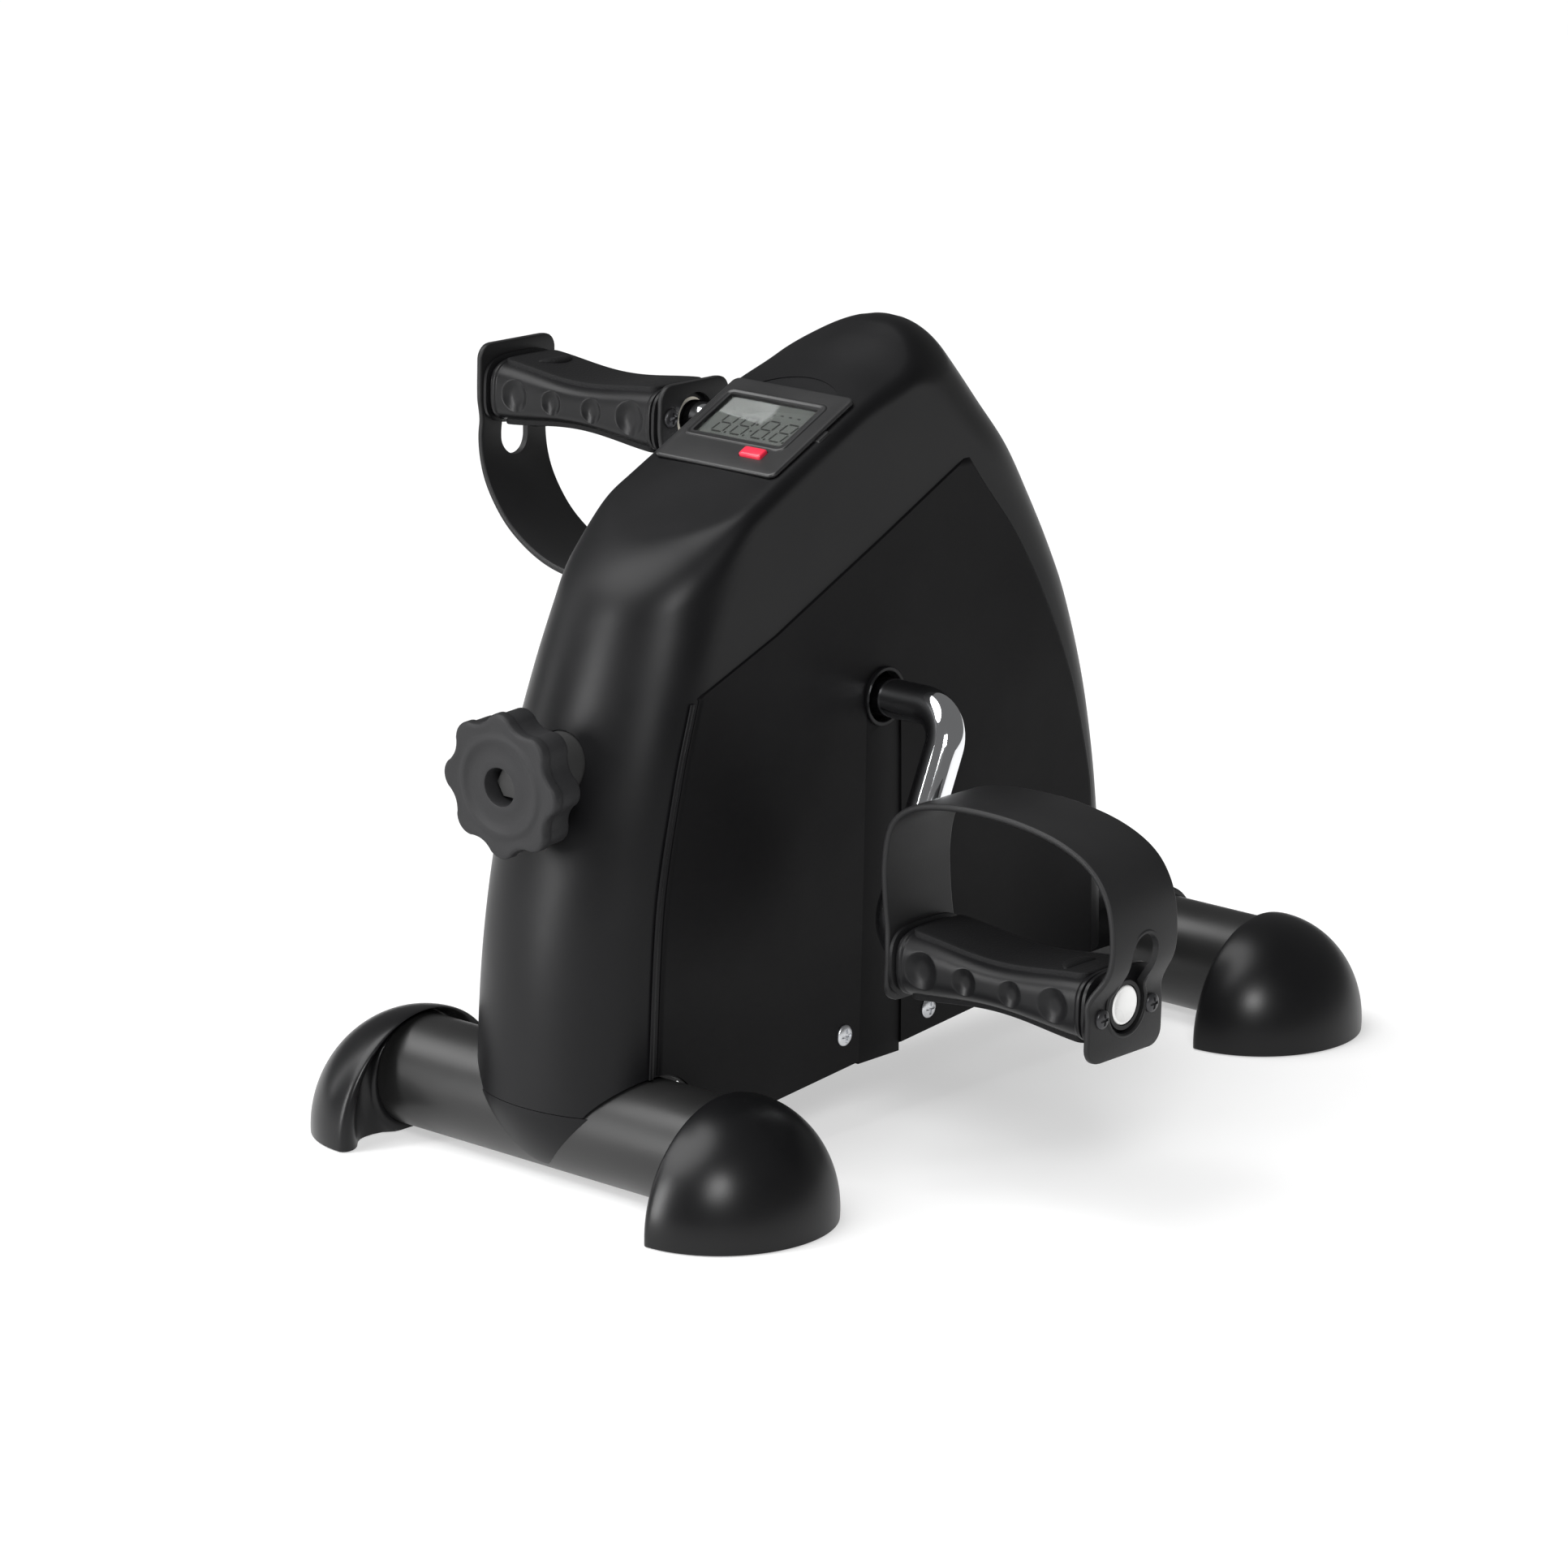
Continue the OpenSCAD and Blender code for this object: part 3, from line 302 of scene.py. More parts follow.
def raw_object(name, points, faces):
    """Object of points in mm, joined where they meet and facing outwards."""
    mesh = bpy.data.meshes.new(name)
    mesh.from_pydata([tuple(MM * float(c) for c in p) for p in points], [], [tuple(f) for f in faces])
    mesh.validate()
    mesh.update()
    with edited(mesh) as work:
        bmesh.ops.remove_doubles(work, verts=work.verts, dist=1e-7)
        bmesh.ops.recalc_face_normals(work, faces=work.faces)
    return add_object(name, mesh)


def slice_at(work, height, direction, clear_outer=False):
    """Cuts the bmesh on a level plane at a height in metres."""
    bmesh.ops.bisect_plane(work, geom=work.verts[:] + work.edges[:] + work.faces[:],
                           plane_co=(0, 0, height), plane_no=(0, 0, direction), clear_outer=clear_outer)


def apply_modifiers(obj):
    graph = bpy.context.evaluated_depsgraph_get()
    graph.update()
    done = bpy.data.meshes.new_from_object(obj.evaluated_get(graph))
    obj.modifiers.clear()
    obj.data = done


def drop(objs):
    for o in objs:
        bpy.data.objects.remove(o, do_unlink=True)


def cut(obj, cutters, operation="DIFFERENCE"):
    """Applies an exact boolean of obj with each cutter, which is then removed."""
    for c in cutters:
        mod = obj.modifiers.new("cut", "BOOLEAN")
        mod.operation = operation
        mod.solver = "EXACT"
        mod.object = c
    apply_modifiers(obj)
    drop(cutters)
    return obj


def bevel(obj, width, segments, angle):
    mod = obj.modifiers.new("bevel", "BEVEL")
    mod.width = width * MM
    mod.segments = segments
    mod.limit_method = "ANGLE"
    mod.angle_limit = math.radians(angle)
    apply_modifiers(obj)


def finish_piece(obj, body, slot, stands_for=(), material=None, angle=38.0):
    """Shades a piece and says what it rides on and stands for."""
    set_smooth(obj, angle)
    obj.data.materials.clear()
    obj.data.materials.append(MATERIALS[material or slot])
    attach(obj, body)
    if stands_for:
        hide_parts(*stands_for)
    return obj


def loft(rings, cap_ends=True):
    """Points and faces of a skin over equal rings of points."""
    n = len(rings[0])
    points = [p for r in rings for p in r]
    faces = []
    for k in range(len(rings) - 1):
        for i in range(n):
            j = (i + 1) % n
            faces.append((k * n + i, k * n + j, (k + 1) * n + j, (k + 1) * n + i))
    if cap_ends:
        faces.append(tuple(range(n - 1, -1, -1)))
        faces.append(tuple((len(rings) - 1) * n + i for i in range(n)))
    return points, faces


def turns(steps):
    """Angles of a full turn in even steps."""
    return [2 * math.pi * i / steps for i in range(steps)]


def lathe(profile, steps=96):
    """Rings about the X axis from (x, radius) pairs."""
    return [[(x, r * math.cos(a), r * math.sin(a)) for a in turns(steps)] for x, r in profile]


def arc(cx, cy, r, start, end, steps):
    """Points of an arc in degrees, as (x, y) pairs."""
    return [(cx + r * math.cos(math.radians(a)), cy + r * math.sin(math.radians(a)))
            for a in np.linspace(start, end, steps)]


def rectangle(a0, b0, a1, b1):
    return [(a0, b0), (a1, b0), (a1, b1), (a0, b1)]


def prism(name, outline, lo, hi, axis="x"):
    """Straight solid on an outline. axis x takes (y, z) pairs, y takes (x, z) and z takes (x, y)."""
    place = {
        "x": lambda a, b, d: (d, a, b),
        "y": lambda a, b, d: (a, d, b),
        "z": lambda a, b, d: (a, b, d),
    }[axis]
    points, faces = loft([[place(a, b, d) for a, b in outline] for d in (lo, hi)])
    return raw_object(name, points, faces)


def rounded_box(w, h, r, steps=8, at=(0.0, 0.0)):
    """Outline of a rectangle with round corners."""
    out = []
    for sx, sy, start in ((1, 1, 0), (-1, 1, 90), (-1, -1, 180), (1, -1, 270)):
        out += arc(at[0] + sx * (w / 2 - r), at[1] + sy * (h / 2 - r), r, start, start + 90, steps)
    return out


def slab(w, h, r, steps, at, heights, tightening=0.0, cap_ends=True):
    """Mesh of a round-cornered slab from (inset, z) pairs; its corners tighten by a share of the inset."""
    return loft([[(x, y, z) for x, y in rounded_box(w - 2 * d, h - 2 * d, r - tightening * d, steps, at)]
                 for d, z in heights], cap_ends)


def across(before, after):
    """Unit vector square to the way from one 2-D point to the next."""
    way = np.subtract(after, before)
    way = way / np.linalg.norm(way)
    return np.array([-way[1], way[0]])


def in_metres(matrix):
    """The same placement with its shift in metres."""
    out = matrix.copy()
    out.translation = MM * matrix.to_translation()
    return out


def in_frame(obj, matrix):
    """Moves an object's mesh by a placement in mm."""
    obj.data.transform(in_metres(matrix))
    return obj


def placed(name, mesh, matrix):
    """Object of a (points, faces) mesh moved by a placement in mm."""
    turned = matrix.to_3x3()
    shift = matrix.to_translation()
    return raw_object(name, [tuple(turned @ Vector(p) + shift) for p in mesh[0]], mesh[1])


BRAKE_FRAME = Matrix.Translation(AXLE) @ Matrix.Rotation(BRAKE_AIM, 4, "X")
MONITOR_FRAME = Matrix.Translation(MONITOR_AT) @ Matrix.Rotation(MONITOR_TILT, 4, "X")
ARM_FRAME = Matrix.Translation(AXLE) @ Matrix.Rotation(-CRANK_LEAN, 4, "X")
PEDAL_FRAMES = {"right": Matrix.Translation(PEDAL_AT),
                "left": Matrix.Translation(LEFT_PEDAL_AT) @ Matrix.Rotation(math.pi, 4, "Y")}
SIDES = (("right", 1), ("left", -1))


# ---- housing surface
# Height, nose line, front end of the flat side, rear end of it, tail line, half width.
LEVELS = np.array([
    [10, -186, -158, 93, 116.5, 40.8], [60, -186, -157.5, 92, 115.5, 40], [90, -184, -155.5, 90, 112, 39.4],
    [120, -179, -151.5, 85, 107.5, 38.7], [150, -172, -144.5, 76.5, 101.5, 37.9],
    [180, -162, -134.5, 64, 92.8, 36.6], [200, -154.5, -126, 52.5, 84, 35.5],
    [220, -146.5, -116, 38, 73.4, 34.5], [240, -135, -104, 22, 61, 33.6], [258, -123, -92, 3, 45, 33],
    [275, -111, -80, -16, 29.7, 32.5], [300, -94, -63, -48, 6, 32],
])
# Distance along the housing and the height of its top at mid width.
CREST = np.array([[-200, 194], [-150, 218.5], [-90, 247.8], [-45, 269.2], [-25, 278.2], [-8, 287.2],
                  [6, 294], [18, 296.2], [40, 295], [80, 290]])
REACH = np.array([[10, 150], [150, 140], [215, 112], [240, 84], [270, 42], [296, 14]])
CROWN_FLAT = 0.8
CROWN_PEAK = 8.0


def read(table, column, v):
    """Cubic interpolation in a column of a table whose first column is the key."""
    v = np.asarray(v, dtype=float)
    i = np.clip(np.searchsorted(table[:, 0], v, side="right") - 1, 0, len(table) - 2)
    before, after = np.maximum(i - 1, 0), np.minimum(i + 2, len(table) - 1)
    h = table[i + 1, 0] - table[i, 0]
    u = (v - table[i, 0]) / h
    s0 = (table[i + 1, column] - table[before, column]) / (table[i + 1, 0] - table[before, 0])
    s1 = (table[after, column] - table[i, column]) / (table[after, 0] - table[i, 0])
    return ((2 * u**3 - 3 * u**2 + 1) * table[i, column] + (u**3 - 2 * u**2 + u) * h * s0
            + (3 * u**2 - 2 * u**3) * table[i + 1, column] + (u**3 - u**2) * h * s1)


def ease(u):
    v = np.clip(u, 0, 1)
    return v * v * (3 - 2 * v)


def housing_gap(x, y, z):
    """Signed distance, roughly, to the housing's outer surface: negative inside."""
    front, rear = read(LEVELS, 2, z), read(LEVELS, 3, z)
    w = read(LEVELS, 5, z)
    ahead = np.maximum(front - y, 0) / (front - read(LEVELS, 1, z))
    behind = np.maximum(y - rear, 0) / (read(LEVELS, 4, z) - rear)
    plan = (np.sqrt((x / w) ** 2 + (ahead + behind) ** 2) - 1) * w
    crown = CROWN_FLAT + CROWN_PEAK * ease((y + 50) / 60)
    top = 0.9 * (z - read(CREST, 1, y) + crown * (x / w) ** 2)
    k = 5.5 + 8 * ease((-105 - y) / 25) + 8 * ease((y + 20) / 30)
    h = np.maximum(k - np.abs(plan - top), 0) / k
    return np.maximum(plan, top) + h * h * k / 4


def housing_ring(z, inset, count):
    """One closed ring of the housing at height z, found by halving along rays from its heart."""
    t = 2 * math.pi * np.arange(count) / count
    ray = np.stack([40 * np.sin(t), -float(read(REACH, 1, z)) * np.cos(t)], axis=1)
    ray /= np.linalg.norm(ray, axis=1)[:, None]
    heart = -30 + 36 * min(max((z - 215) / 78, 0), 1)
    lo, hi = np.zeros(count), np.full(count, 190.0)
    level = np.full(count, float(z))
    for _ in range(26):
        mid = (lo + hi) / 2
        inside = housing_gap(ray[:, 0] * mid, heart + ray[:, 1] * mid, level) + inset < 0
        lo, hi = np.where(inside, mid, lo), np.where(inside, hi, mid)
    return [(x, heart + y, z) for x, y in ray * lo[:, None]]


def side_x(z):
    """Half width of the housing's flat side at a height."""
    return float(read(LEVELS, 5, z))


def edge_z(y):
    """Height of the housing's lower edge."""
    return 29.0 + 0.09 * y


def below_edge(rise=0.0):
    """Cutter for all that lies under the lower edge."""
    front, rear = -220, 150
    outline = [(front, -10), (rear, -10), (rear, edge_z(rear) + rise), (front, edge_z(front) + rise)]
    return prism("below", outline, -60, 60)


SLOT_TOP_R = 9.5
SLOT_FOOT_HALF = 12.5


def slot_outline(grow=0.0):
    """Crank slot in a side, from its round top down past the lower edge."""
    foot = SLOT_FOOT_HALF + grow
    round_top = arc(AXLE[1], AXLE[2], SLOT_TOP_R + grow, 0, 180, 25)
    return [(AXLE[1] - foot, 0.0), (AXLE[1] + foot, 0.0)] + round_top


def tube_cutter(name, r, y=-FOOT_Y):
    points, faces = loft(lathe([(-70.0, r), (70.0, r)], 128))
    return raw_object(name, [(a, b + y, c + TUBE_Z) for a, b, c in points], faces)


WALL = 2.5
HOUSING_TOP = 291.65
SCOOP_R = 24.0
SCOOP_DEPTH = 2.85


def make_housing():
    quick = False
    count = 160 if quick else 256
    heights = [*np.arange(10, 200, 6.0 if quick else 4.0), *np.arange(200, 291.2, 2.0 if quick else 0.8),
               HOUSING_TOP]
    outer = raw_object("housing_shell", *loft([housing_ring(z, 0.0, count) for z in heights]))
    foot = [(x, y, 6.0) for x, y, _ in housing_ring(10.0, WALL, 96)]
    inner_heights = [*np.arange(12, 200, 8.0), *np.arange(200, 287, 3.0), 287.8]
    inner = raw_object("inner", *loft([foot] + [housing_ring(z, WALL, 96) for z in inner_heights]))
    under_nose = prism("under_nose", rectangle(-220, -12, -150, 30), -61, 61)
    tools = [inner, below_edge(), under_nose, tube_cutter("notch", TUBE_R + 1.2)]
    for _, s in SIDES:
        tools.append(prism("slot", slot_outline(), *sorted((20 * s, 62 * s))))
    knob_hole = loft([[(12.4 * math.cos(a), y, 12.4 * math.sin(a)) for a in turns(64)] for y in (-170, -120)])
    tools.append(placed("knob_hole", knob_hole, BRAKE_FRAME))
    seat = prism("seat", rounded_box(MONITOR_W + 0.7, MONITOR_L + 0.7, 3.2), -MONITOR_RISE, 9, "z")
    well = prism("well", rounded_box(50.4, 44.4, 1.5), -14, 9, "z")
    cut(outer, tools + [in_frame(tool, MONITOR_FRAME) for tool in (seat, well, scoop_cutter())])
    finish_piece(outer, "base", "satin_black_plastic", ["housing"], angle=32)


def scoop_cutter():
    """Shallow oval finger recess at the bezel's rear edge, in the monitor's frame."""
    rings = [[(SCOOP_R * math.cos(a), MONITOR_L / 2 - 12 + SCOOP_R * 0.88 * math.sin(a), z)
              for a in turns(96)] for z in (-SCOOP_DEPTH, 12.0)]
    return raw_object("scoop", *loft(rings))


# ---- side panels
PANEL_FRONT = np.array([[42, -160], [85, -158], [113, -155], [151, -146], [175, -138]])
PANEL_BROW = np.array([[177.7, -138], [193, -96], [219, -37], [242.7, 14.6]])
PANEL_REAR = np.array([[10, 93], [60, 92.5], [102, 90.5], [129, 84], [151, 76.5], [181, 61.5],
                       [208.5, 44], [232, 23.5], [242.7, 14.8]])
PANEL_PROUD = 0.7


def panel_span(z):
    """Front and rear limits of the raised side panel at a height."""
    if z < 176.5:
        front = float(read(PANEL_FRONT, 1, z))
    else:
        front = float(np.interp(z, PANEL_BROW[:, 0], PANEL_BROW[:, 1]))
    return front, float(read(PANEL_REAR, 1, z))


def panel_mesh():
    """A plate over the right flat side whose rim is rounded: (points, faces).

    Rows run front to rear, so the plate follows the outline at every height."""
    heights = [*np.linspace(12, 172, 60), *np.linspace(174.5, 241.6, 70)]
    rim = [(0.0, -0.5), (0.05, 0.15), (0.25, 0.45), (0.6, 0.65), (1.1, 1.0)]
    rings = []
    for z in heights:
        front, rear = panel_span(z)
        taper = min(1.0, (heights[-1] - z) / 1.6)
        ys = [front + d for d, _ in rim] + list(np.linspace(front + 2.2, rear - 2.2, 40))
        ys += [rear - d for d, _ in reversed(rim)]
        lift = [l for _, l in rim] + [1.0] * 40 + [l for _, l in reversed(rim)]
        row = [(side_x(z) + PANEL_PROUD * (l if l < 0 else l * taper), y, z) for y, l in zip(ys, lift)]
        back_x = 38.0 if z < 120 else side_x(z) - 1.2
        rings.append(row + [(back_x, y, z) for y in reversed(ys)])
    return loft(rings)


def make_side_panels():
    points, faces = panel_mesh()
    for side, s in SIDES:
        obj = raw_object("side_panel_" + side, [(s * x, y, z) for x, y, z in points], faces)
        slot = prism("slot", slot_outline(0.25), -61, 61)
        cut(obj, [below_edge(0.3), slot, tube_cutter("notch", TUBE_R + 1.8)])
        finish_piece(obj, "base", "satin_black_plastic", material="side_panel", angle=30)


def make_panel_beads():
    """The thin upright bead between the nose and each side panel."""
    for side, s in SIDES:
        rings = [[(s * (side_x(z) + 0.55 * math.sin(a)), panel_span(z)[0] - 3.1 + 1.1 * math.cos(a), z)
                  for a in turns(12)] for z in np.linspace(44, 176, 70)]
        finish_piece(raw_object("panel_bead_" + side, *loft(rings)), "base", "satin_black_plastic")


def make_crank_rings():
    """Raised lip round each opening that a crank comes out of."""
    base, face = side_x(AXLE[2]) + PANEL_PROUD, side_x(AXLE[2]) + PANEL_PROUD + 1.1
    section = [(base - 2.0, 9.55), (face - 0.2, 9.55), (face, 9.75), (face, 10.7), (face - 0.2, 10.95),
               (base - 0.6, 10.95)]
    points, faces = loft(lathe(section + section[:1]), cap_ends=False)
    for side, s in SIDES:
        ring = [(s * x, y + AXLE[1], z + AXLE[2]) for x, y, z in points]
        finish_piece(raw_object("crank_ring_" + side, ring, faces), "base", "satin_black_plastic")


def make_slot_covers():
    """Strips that close the crank slots below the axle, bent to the flat sides."""
    foot = edge_z(AXLE[1]) - 2
    notch = arc(AXLE[1], AXLE[2], 9.6, -165, -15, 25)
    top = notch[0][1]
    half_foot, half_top = [SLOT_FOOT_HALF - (SLOT_FOOT_HALF - SLOT_TOP_R) * z / AXLE[2] - 0.2
                           for z in (foot, top)]
    outline = [(AXLE[1] + half_foot, foot), (AXLE[1] + half_top, notch[-1][1])] + notch[::-1]
    outline += [(AXLE[1] - half_top, top), (AXLE[1] - half_foot, foot)]
    rows = 24
    for side, s in SIDES:
        cover = prism("slot_cover_" + side, outline, 36.0, 40.2)
        with edited(cover.data) as work:
            for k in range(1, rows):
                slice_at(work, (foot + (top - foot) * k / rows) * MM, 1)
            for v in work.verts:
                outer = v.co.x > 0.038
                v.co.x = s * MM * (side_x(v.co.z / MM) + (0.1 if outer else -2.2))
            bmesh.ops.recalc_face_normals(work, faces=work.faces)
        bevel(cover, 0.35, 2, 50)
        finish_piece(cover, "base", "satin_black_plastic", ["slot_cover_" + side], material="side_panel")


# ---- saddles
SADDLE_Y = -158.0


def make_front_saddle():
    """The nose's outline carried down in front of the tube and drawn to a point underneath."""
    top, bottom = 29.7, 6.5
    rings = []
    for z in np.linspace(bottom, top, 24):
        t = (z - bottom) / (top - bottom)
        w = 30 + 10.2 * t
        meets_tube = 4 + 21.7 * t
        tube_front = FOOT_Y + math.sqrt(TUBE_R**2 - (z - TUBE_Z) ** 2)
        deep = (tube_front + SADDLE_Y) / math.sqrt(1 - (meets_tube / w) ** 2)
        rings.append([(w * math.sin(a), SADDLE_Y - deep * math.cos(a), z)
                      for a in np.linspace(-math.pi / 2, math.pi / 2, 41)])
    obj = raw_object("front_saddle_piece", *loft(rings))
    cut(obj, [tube_cutter("tube", TUBE_R + 0.06), prism("back", rectangle(-160, -5, -100, 45), -60, 60)])
    finish_piece(obj, "base", "satin_black_plastic", ["front_saddle"], angle=30)


def make_rear_saddle():
    """Wrap over the rear tube with a neck that reaches forward to the housing's tail."""
    start, end = math.radians(-62), math.radians(124)
    rings = []
    for a in np.linspace(start, end, 40):
        u = (a - start) / (end - start)
        w = 24.0 * (1 - 0.62 * (1 - min(u / 0.32, 1)) ** 1.6)
        section = rounded_box(2 * w, 3.2, 1.2, 5, at=(0.0, TUBE_R + 1.45))
        rings.append([(x, FOOT_Y + r * math.cos(a), TUBE_Z + r * math.sin(a)) for x, r in section])
    wrap = raw_object("rear_saddle_piece", *loft(rings))
    sections = []
    for u in np.linspace(0, 1, 10):
        w = 20 - 1.5 * math.sin(math.pi * u)
        top = 47.5 - 2.2 * u
        outline = [(-w, 26.5), (w, 26.5), (w, top - 5)] + arc(w - 5, top - 5, 5, 10, 90, 6)
        outline += arc(-w + 5, top - 5, 5, 90, 170, 6) + [(-w, top - 5)]
        sections.append([(x, 110 + 42 * u, z) for x, z in outline])
    cut(wrap, [raw_object("neck", *loft(sections))], "UNION")
    beam = prism("beam", rectangle(-15.1, 27.9, 15.1, 42.1), 60, 176, "y")
    housing_tail = raw_object("tail", *loft([housing_ring(z, -0.3, 96) for z in (12, 30, 50, 70)]))
    tools = [tube_cutter("tube", TUBE_R + 0.06, y=FOOT_Y), beam, housing_tail]
    for x in (-8, 8):
        bolt_hole = [(x + 5.3 * math.cos(a), 35 + 5.3 * math.sin(a)) for a in turns(32)]
        tools.append(prism("bolt_hole", bolt_hole, 165, 195, "y"))
    cut(wrap, tools)
    finish_piece(wrap, "base", "satin_black_plastic", ["rear_saddle"], angle=32)


# ---- feet
def make_tubes():
    half_profile = [(TUBE_HALF - 0.4, TUBE_R), (TUBE_HALF, TUBE_R - 0.4), (TUBE_HALF, TUBE_R - 1.5)]
    profile = [(-x, r) for x, r in reversed(half_profile)]
    profile += [(x, TUBE_R) for x in np.linspace(-TUBE_HALF + 2, TUBE_HALF - 2, 40)] + half_profile
    points, faces = loft(lathe(profile + profile[:1], 128), cap_ends=False)
    for name, y in (("front", -FOOT_Y), ("rear", FOOT_Y)):
        obj = raw_object(name + "_foot_tube", [(a, b + y, c + TUBE_Z) for a, b, c in points], faces)
        finish_piece(obj, "base", "black_paint", [name + "_tube"])


# From the dome's rim (0) in to the tube (1): how deep the cap's inner face lies behind the rim plane.
CAP_DISH = [(0.02, -1.1), (0.06, -1.9), (0.12, -2.3), (0.2, -2.2), (0.28, -1.5), (0.36, -0.2), (0.43, 1.6),
            (0.5, 3.4), (0.58, 4.8), (0.66, 5.4), (0.76, 5.4), (0.84, 4.6), (0.88, 2.8), (0.9, 1.9),
            (0.93, 1.5), (0.97, 1.5), (1.0, 1.8), (1.0, 6.0)]


def cap_rings():
    """Rings of an end cap about the tube's direction, from the pole of the dome in to the tube."""
    dome = [(CAP_DOME * math.sin(a), CAP_R * math.cos(a)) for a in np.linspace(math.pi / 2, 0.0, 44)]
    dome[0] = (CAP_DOME, 0.01)
    rows = [(x, r, CAP_Z) for x, r in dome]
    rows += [(deep, CAP_R + (TUBE_R + 0.05 - CAP_R) * u, CAP_Z + (TUBE_Z - CAP_Z) * u)
             for u, deep in CAP_DISH]
    return [[(CAP_RIM_X + x, r * math.cos(a) - FOOT_Y, z + r * math.sin(a)) for a in turns(128)]
            for x, r, z in rows]


def make_caps():
    """Four caps cut flat at the floor."""
    points, faces = loft(cap_rings())
    for end, sy in (("front", -1), ("rear", 1)):
        for side, sx in SIDES:
            name = end + "_" + side
            obj = raw_object("foot_cap_" + name, [(sx * x, -sy * y, z) for x, y, z in points], faces)
            with edited(obj.data) as work:
                slice_at(work, 0, -1, clear_outer=True)
                bmesh.ops.holes_fill(work, edges=[e for e in work.edges if e.is_boundary])
                bmesh.ops.recalc_face_normals(work, faces=work.faces)
            finish_piece(obj, "base", "cap_plastic", ["cap_" + name], angle=50)


# ---- cranks
def crank_path():
    """Centre line (x, z) and radius from the axle out to the end of the spindle."""
    path = [(x, 0.0, ROD_R) for x in np.linspace(1, ARM_X - BEND_R, 12)]
    path += [(x, z, ROD_R) for x, z in arc(ARM_X - BEND_R, -BEND_R, BEND_R, 90, 0, 18)[1:]]
    path += [(ARM_X, z, ROD_R) for z in np.linspace(-BEND_R, BEND_R - CRANK_R, 16)[1:]]
    path += [(x, z, ROD_R) for x, z in arc(ARM_X + BEND_R, BEND_R - CRANK_R, BEND_R, 180, 270, 18)[1:]]
    path += [(PEDAL_IN, -CRANK_R, ROD_R), (PEDAL_IN + 0.3, -CRANK_R, ROD_R - 0.4),
             (PEDAL_IN + 0.3, -CRANK_R, SPINDLE_R)]
    path += [(x, -CRANK_R, SPINDLE_R) for x in np.linspace(PEDAL_IN + 4, PEDAL_OUT - 4.5, 8)]
    path += [(PEDAL_OUT - 4, -CRANK_R, SPINDLE_R - 0.5)]
    return path


def make_cranks():
    """Two bars swept along the path, half a turn apart."""
    path = crank_path()
    rings = []
    for i, (x, z, r) in enumerate(path):
        side = across(path[max(i - 1, 0)][:2], path[min(i + 1, len(path) - 1)][:2])
        rings.append([(x + r * math.cos(t) * side[0], r * math.sin(t), z + r * math.cos(t) * side[1])
                      for t in turns(48)])
    for side, turn in (("right", Matrix.Identity(4)), ("left", Matrix.Rotation(math.pi, 4, "Y"))):
        obj = placed("crank_bar_" + side, loft(rings), ARM_FRAME @ turn)
        finish_piece(obj, "crank", "chrome_rod", ["crank_" + side], angle=50)


# ---- pedals
def waist(x):
    """Half height of the pedal's body along its length."""
    return PEDAL_H / 2 - PEDAL_WAIST * math.sin(math.pi * (x - PEDAL_IN) / PEDAL_LEN) ** 2


# Place along the pedal, radius and depth of the finger hollows.
DIMPLES = ((102.0, 7.2, 1.7), (121.5, 5.2, 1.3), (142.0, 5.0, 1.3), (161.0, 6.6, 1.6))


def end_rings(d):
    """How far the pedal's skin stands out, d from either end: a flange, a groove and a bead."""
    flange = 1.3 * (ease(d / 0.5) * (1 - ease((d - 1.9) / 0.6)))
    groove = -0.7 * ease((d - 2.0) / 0.6) * (1 - ease((d - 3.3) / 0.5))
    bead = 0.45 * ease((d - 3.3) / 0.5) * (1 - ease((d - 5.0) / 0.8))
    return flange + groove + bead - 0.5 * (1 - ease(d / 0.5))


def pedal_body_points():
    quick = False
    stations = np.unique(np.concatenate([
        np.linspace(0, 6.5, 22), np.linspace(6.5, PEDAL_LEN - 6.5, 70 if quick else 150),
        np.linspace(PEDAL_LEN - 6.5, PEDAL_LEN, 22)])) + PEDAL_IN
    count = 160 if quick else 260
    t = np.linspace(0, 2 * math.pi, count, endpoint=False)
    power = 2 / 3.4
    unit_y = np.sign(np.cos(t)) * np.abs(np.cos(t)) ** power
    unit_z = np.sign(np.sin(t)) * np.abs(np.sin(t)) ** power
    rings = []
    for x in stations:
        d = min(x - PEDAL_IN, PEDAL_OUT - x)
        out = end_rings(d)
        half_y, half_z = PEDAL_W / 2 + out, min(waist(x), PEDAL_H / 2) + out
        y, z = half_y * unit_y, half_z * unit_z
        for cx, r, deep in DIMPLES:
            far = np.sqrt((x - cx) ** 2 + z**2)
            dent = deep * (1 - ease((far / r) ** 2)) + 0.25 * (1 - ease((far - r * 0.85) / (r * 0.15)))
            y = y - np.where(np.abs(unit_y) > 0.8, np.sign(y) * np.where(far < r, dent, 0.0), 0.0)
        rings.append([(x, a, b) for a, b in zip(y, z)])
    return loft(rings)


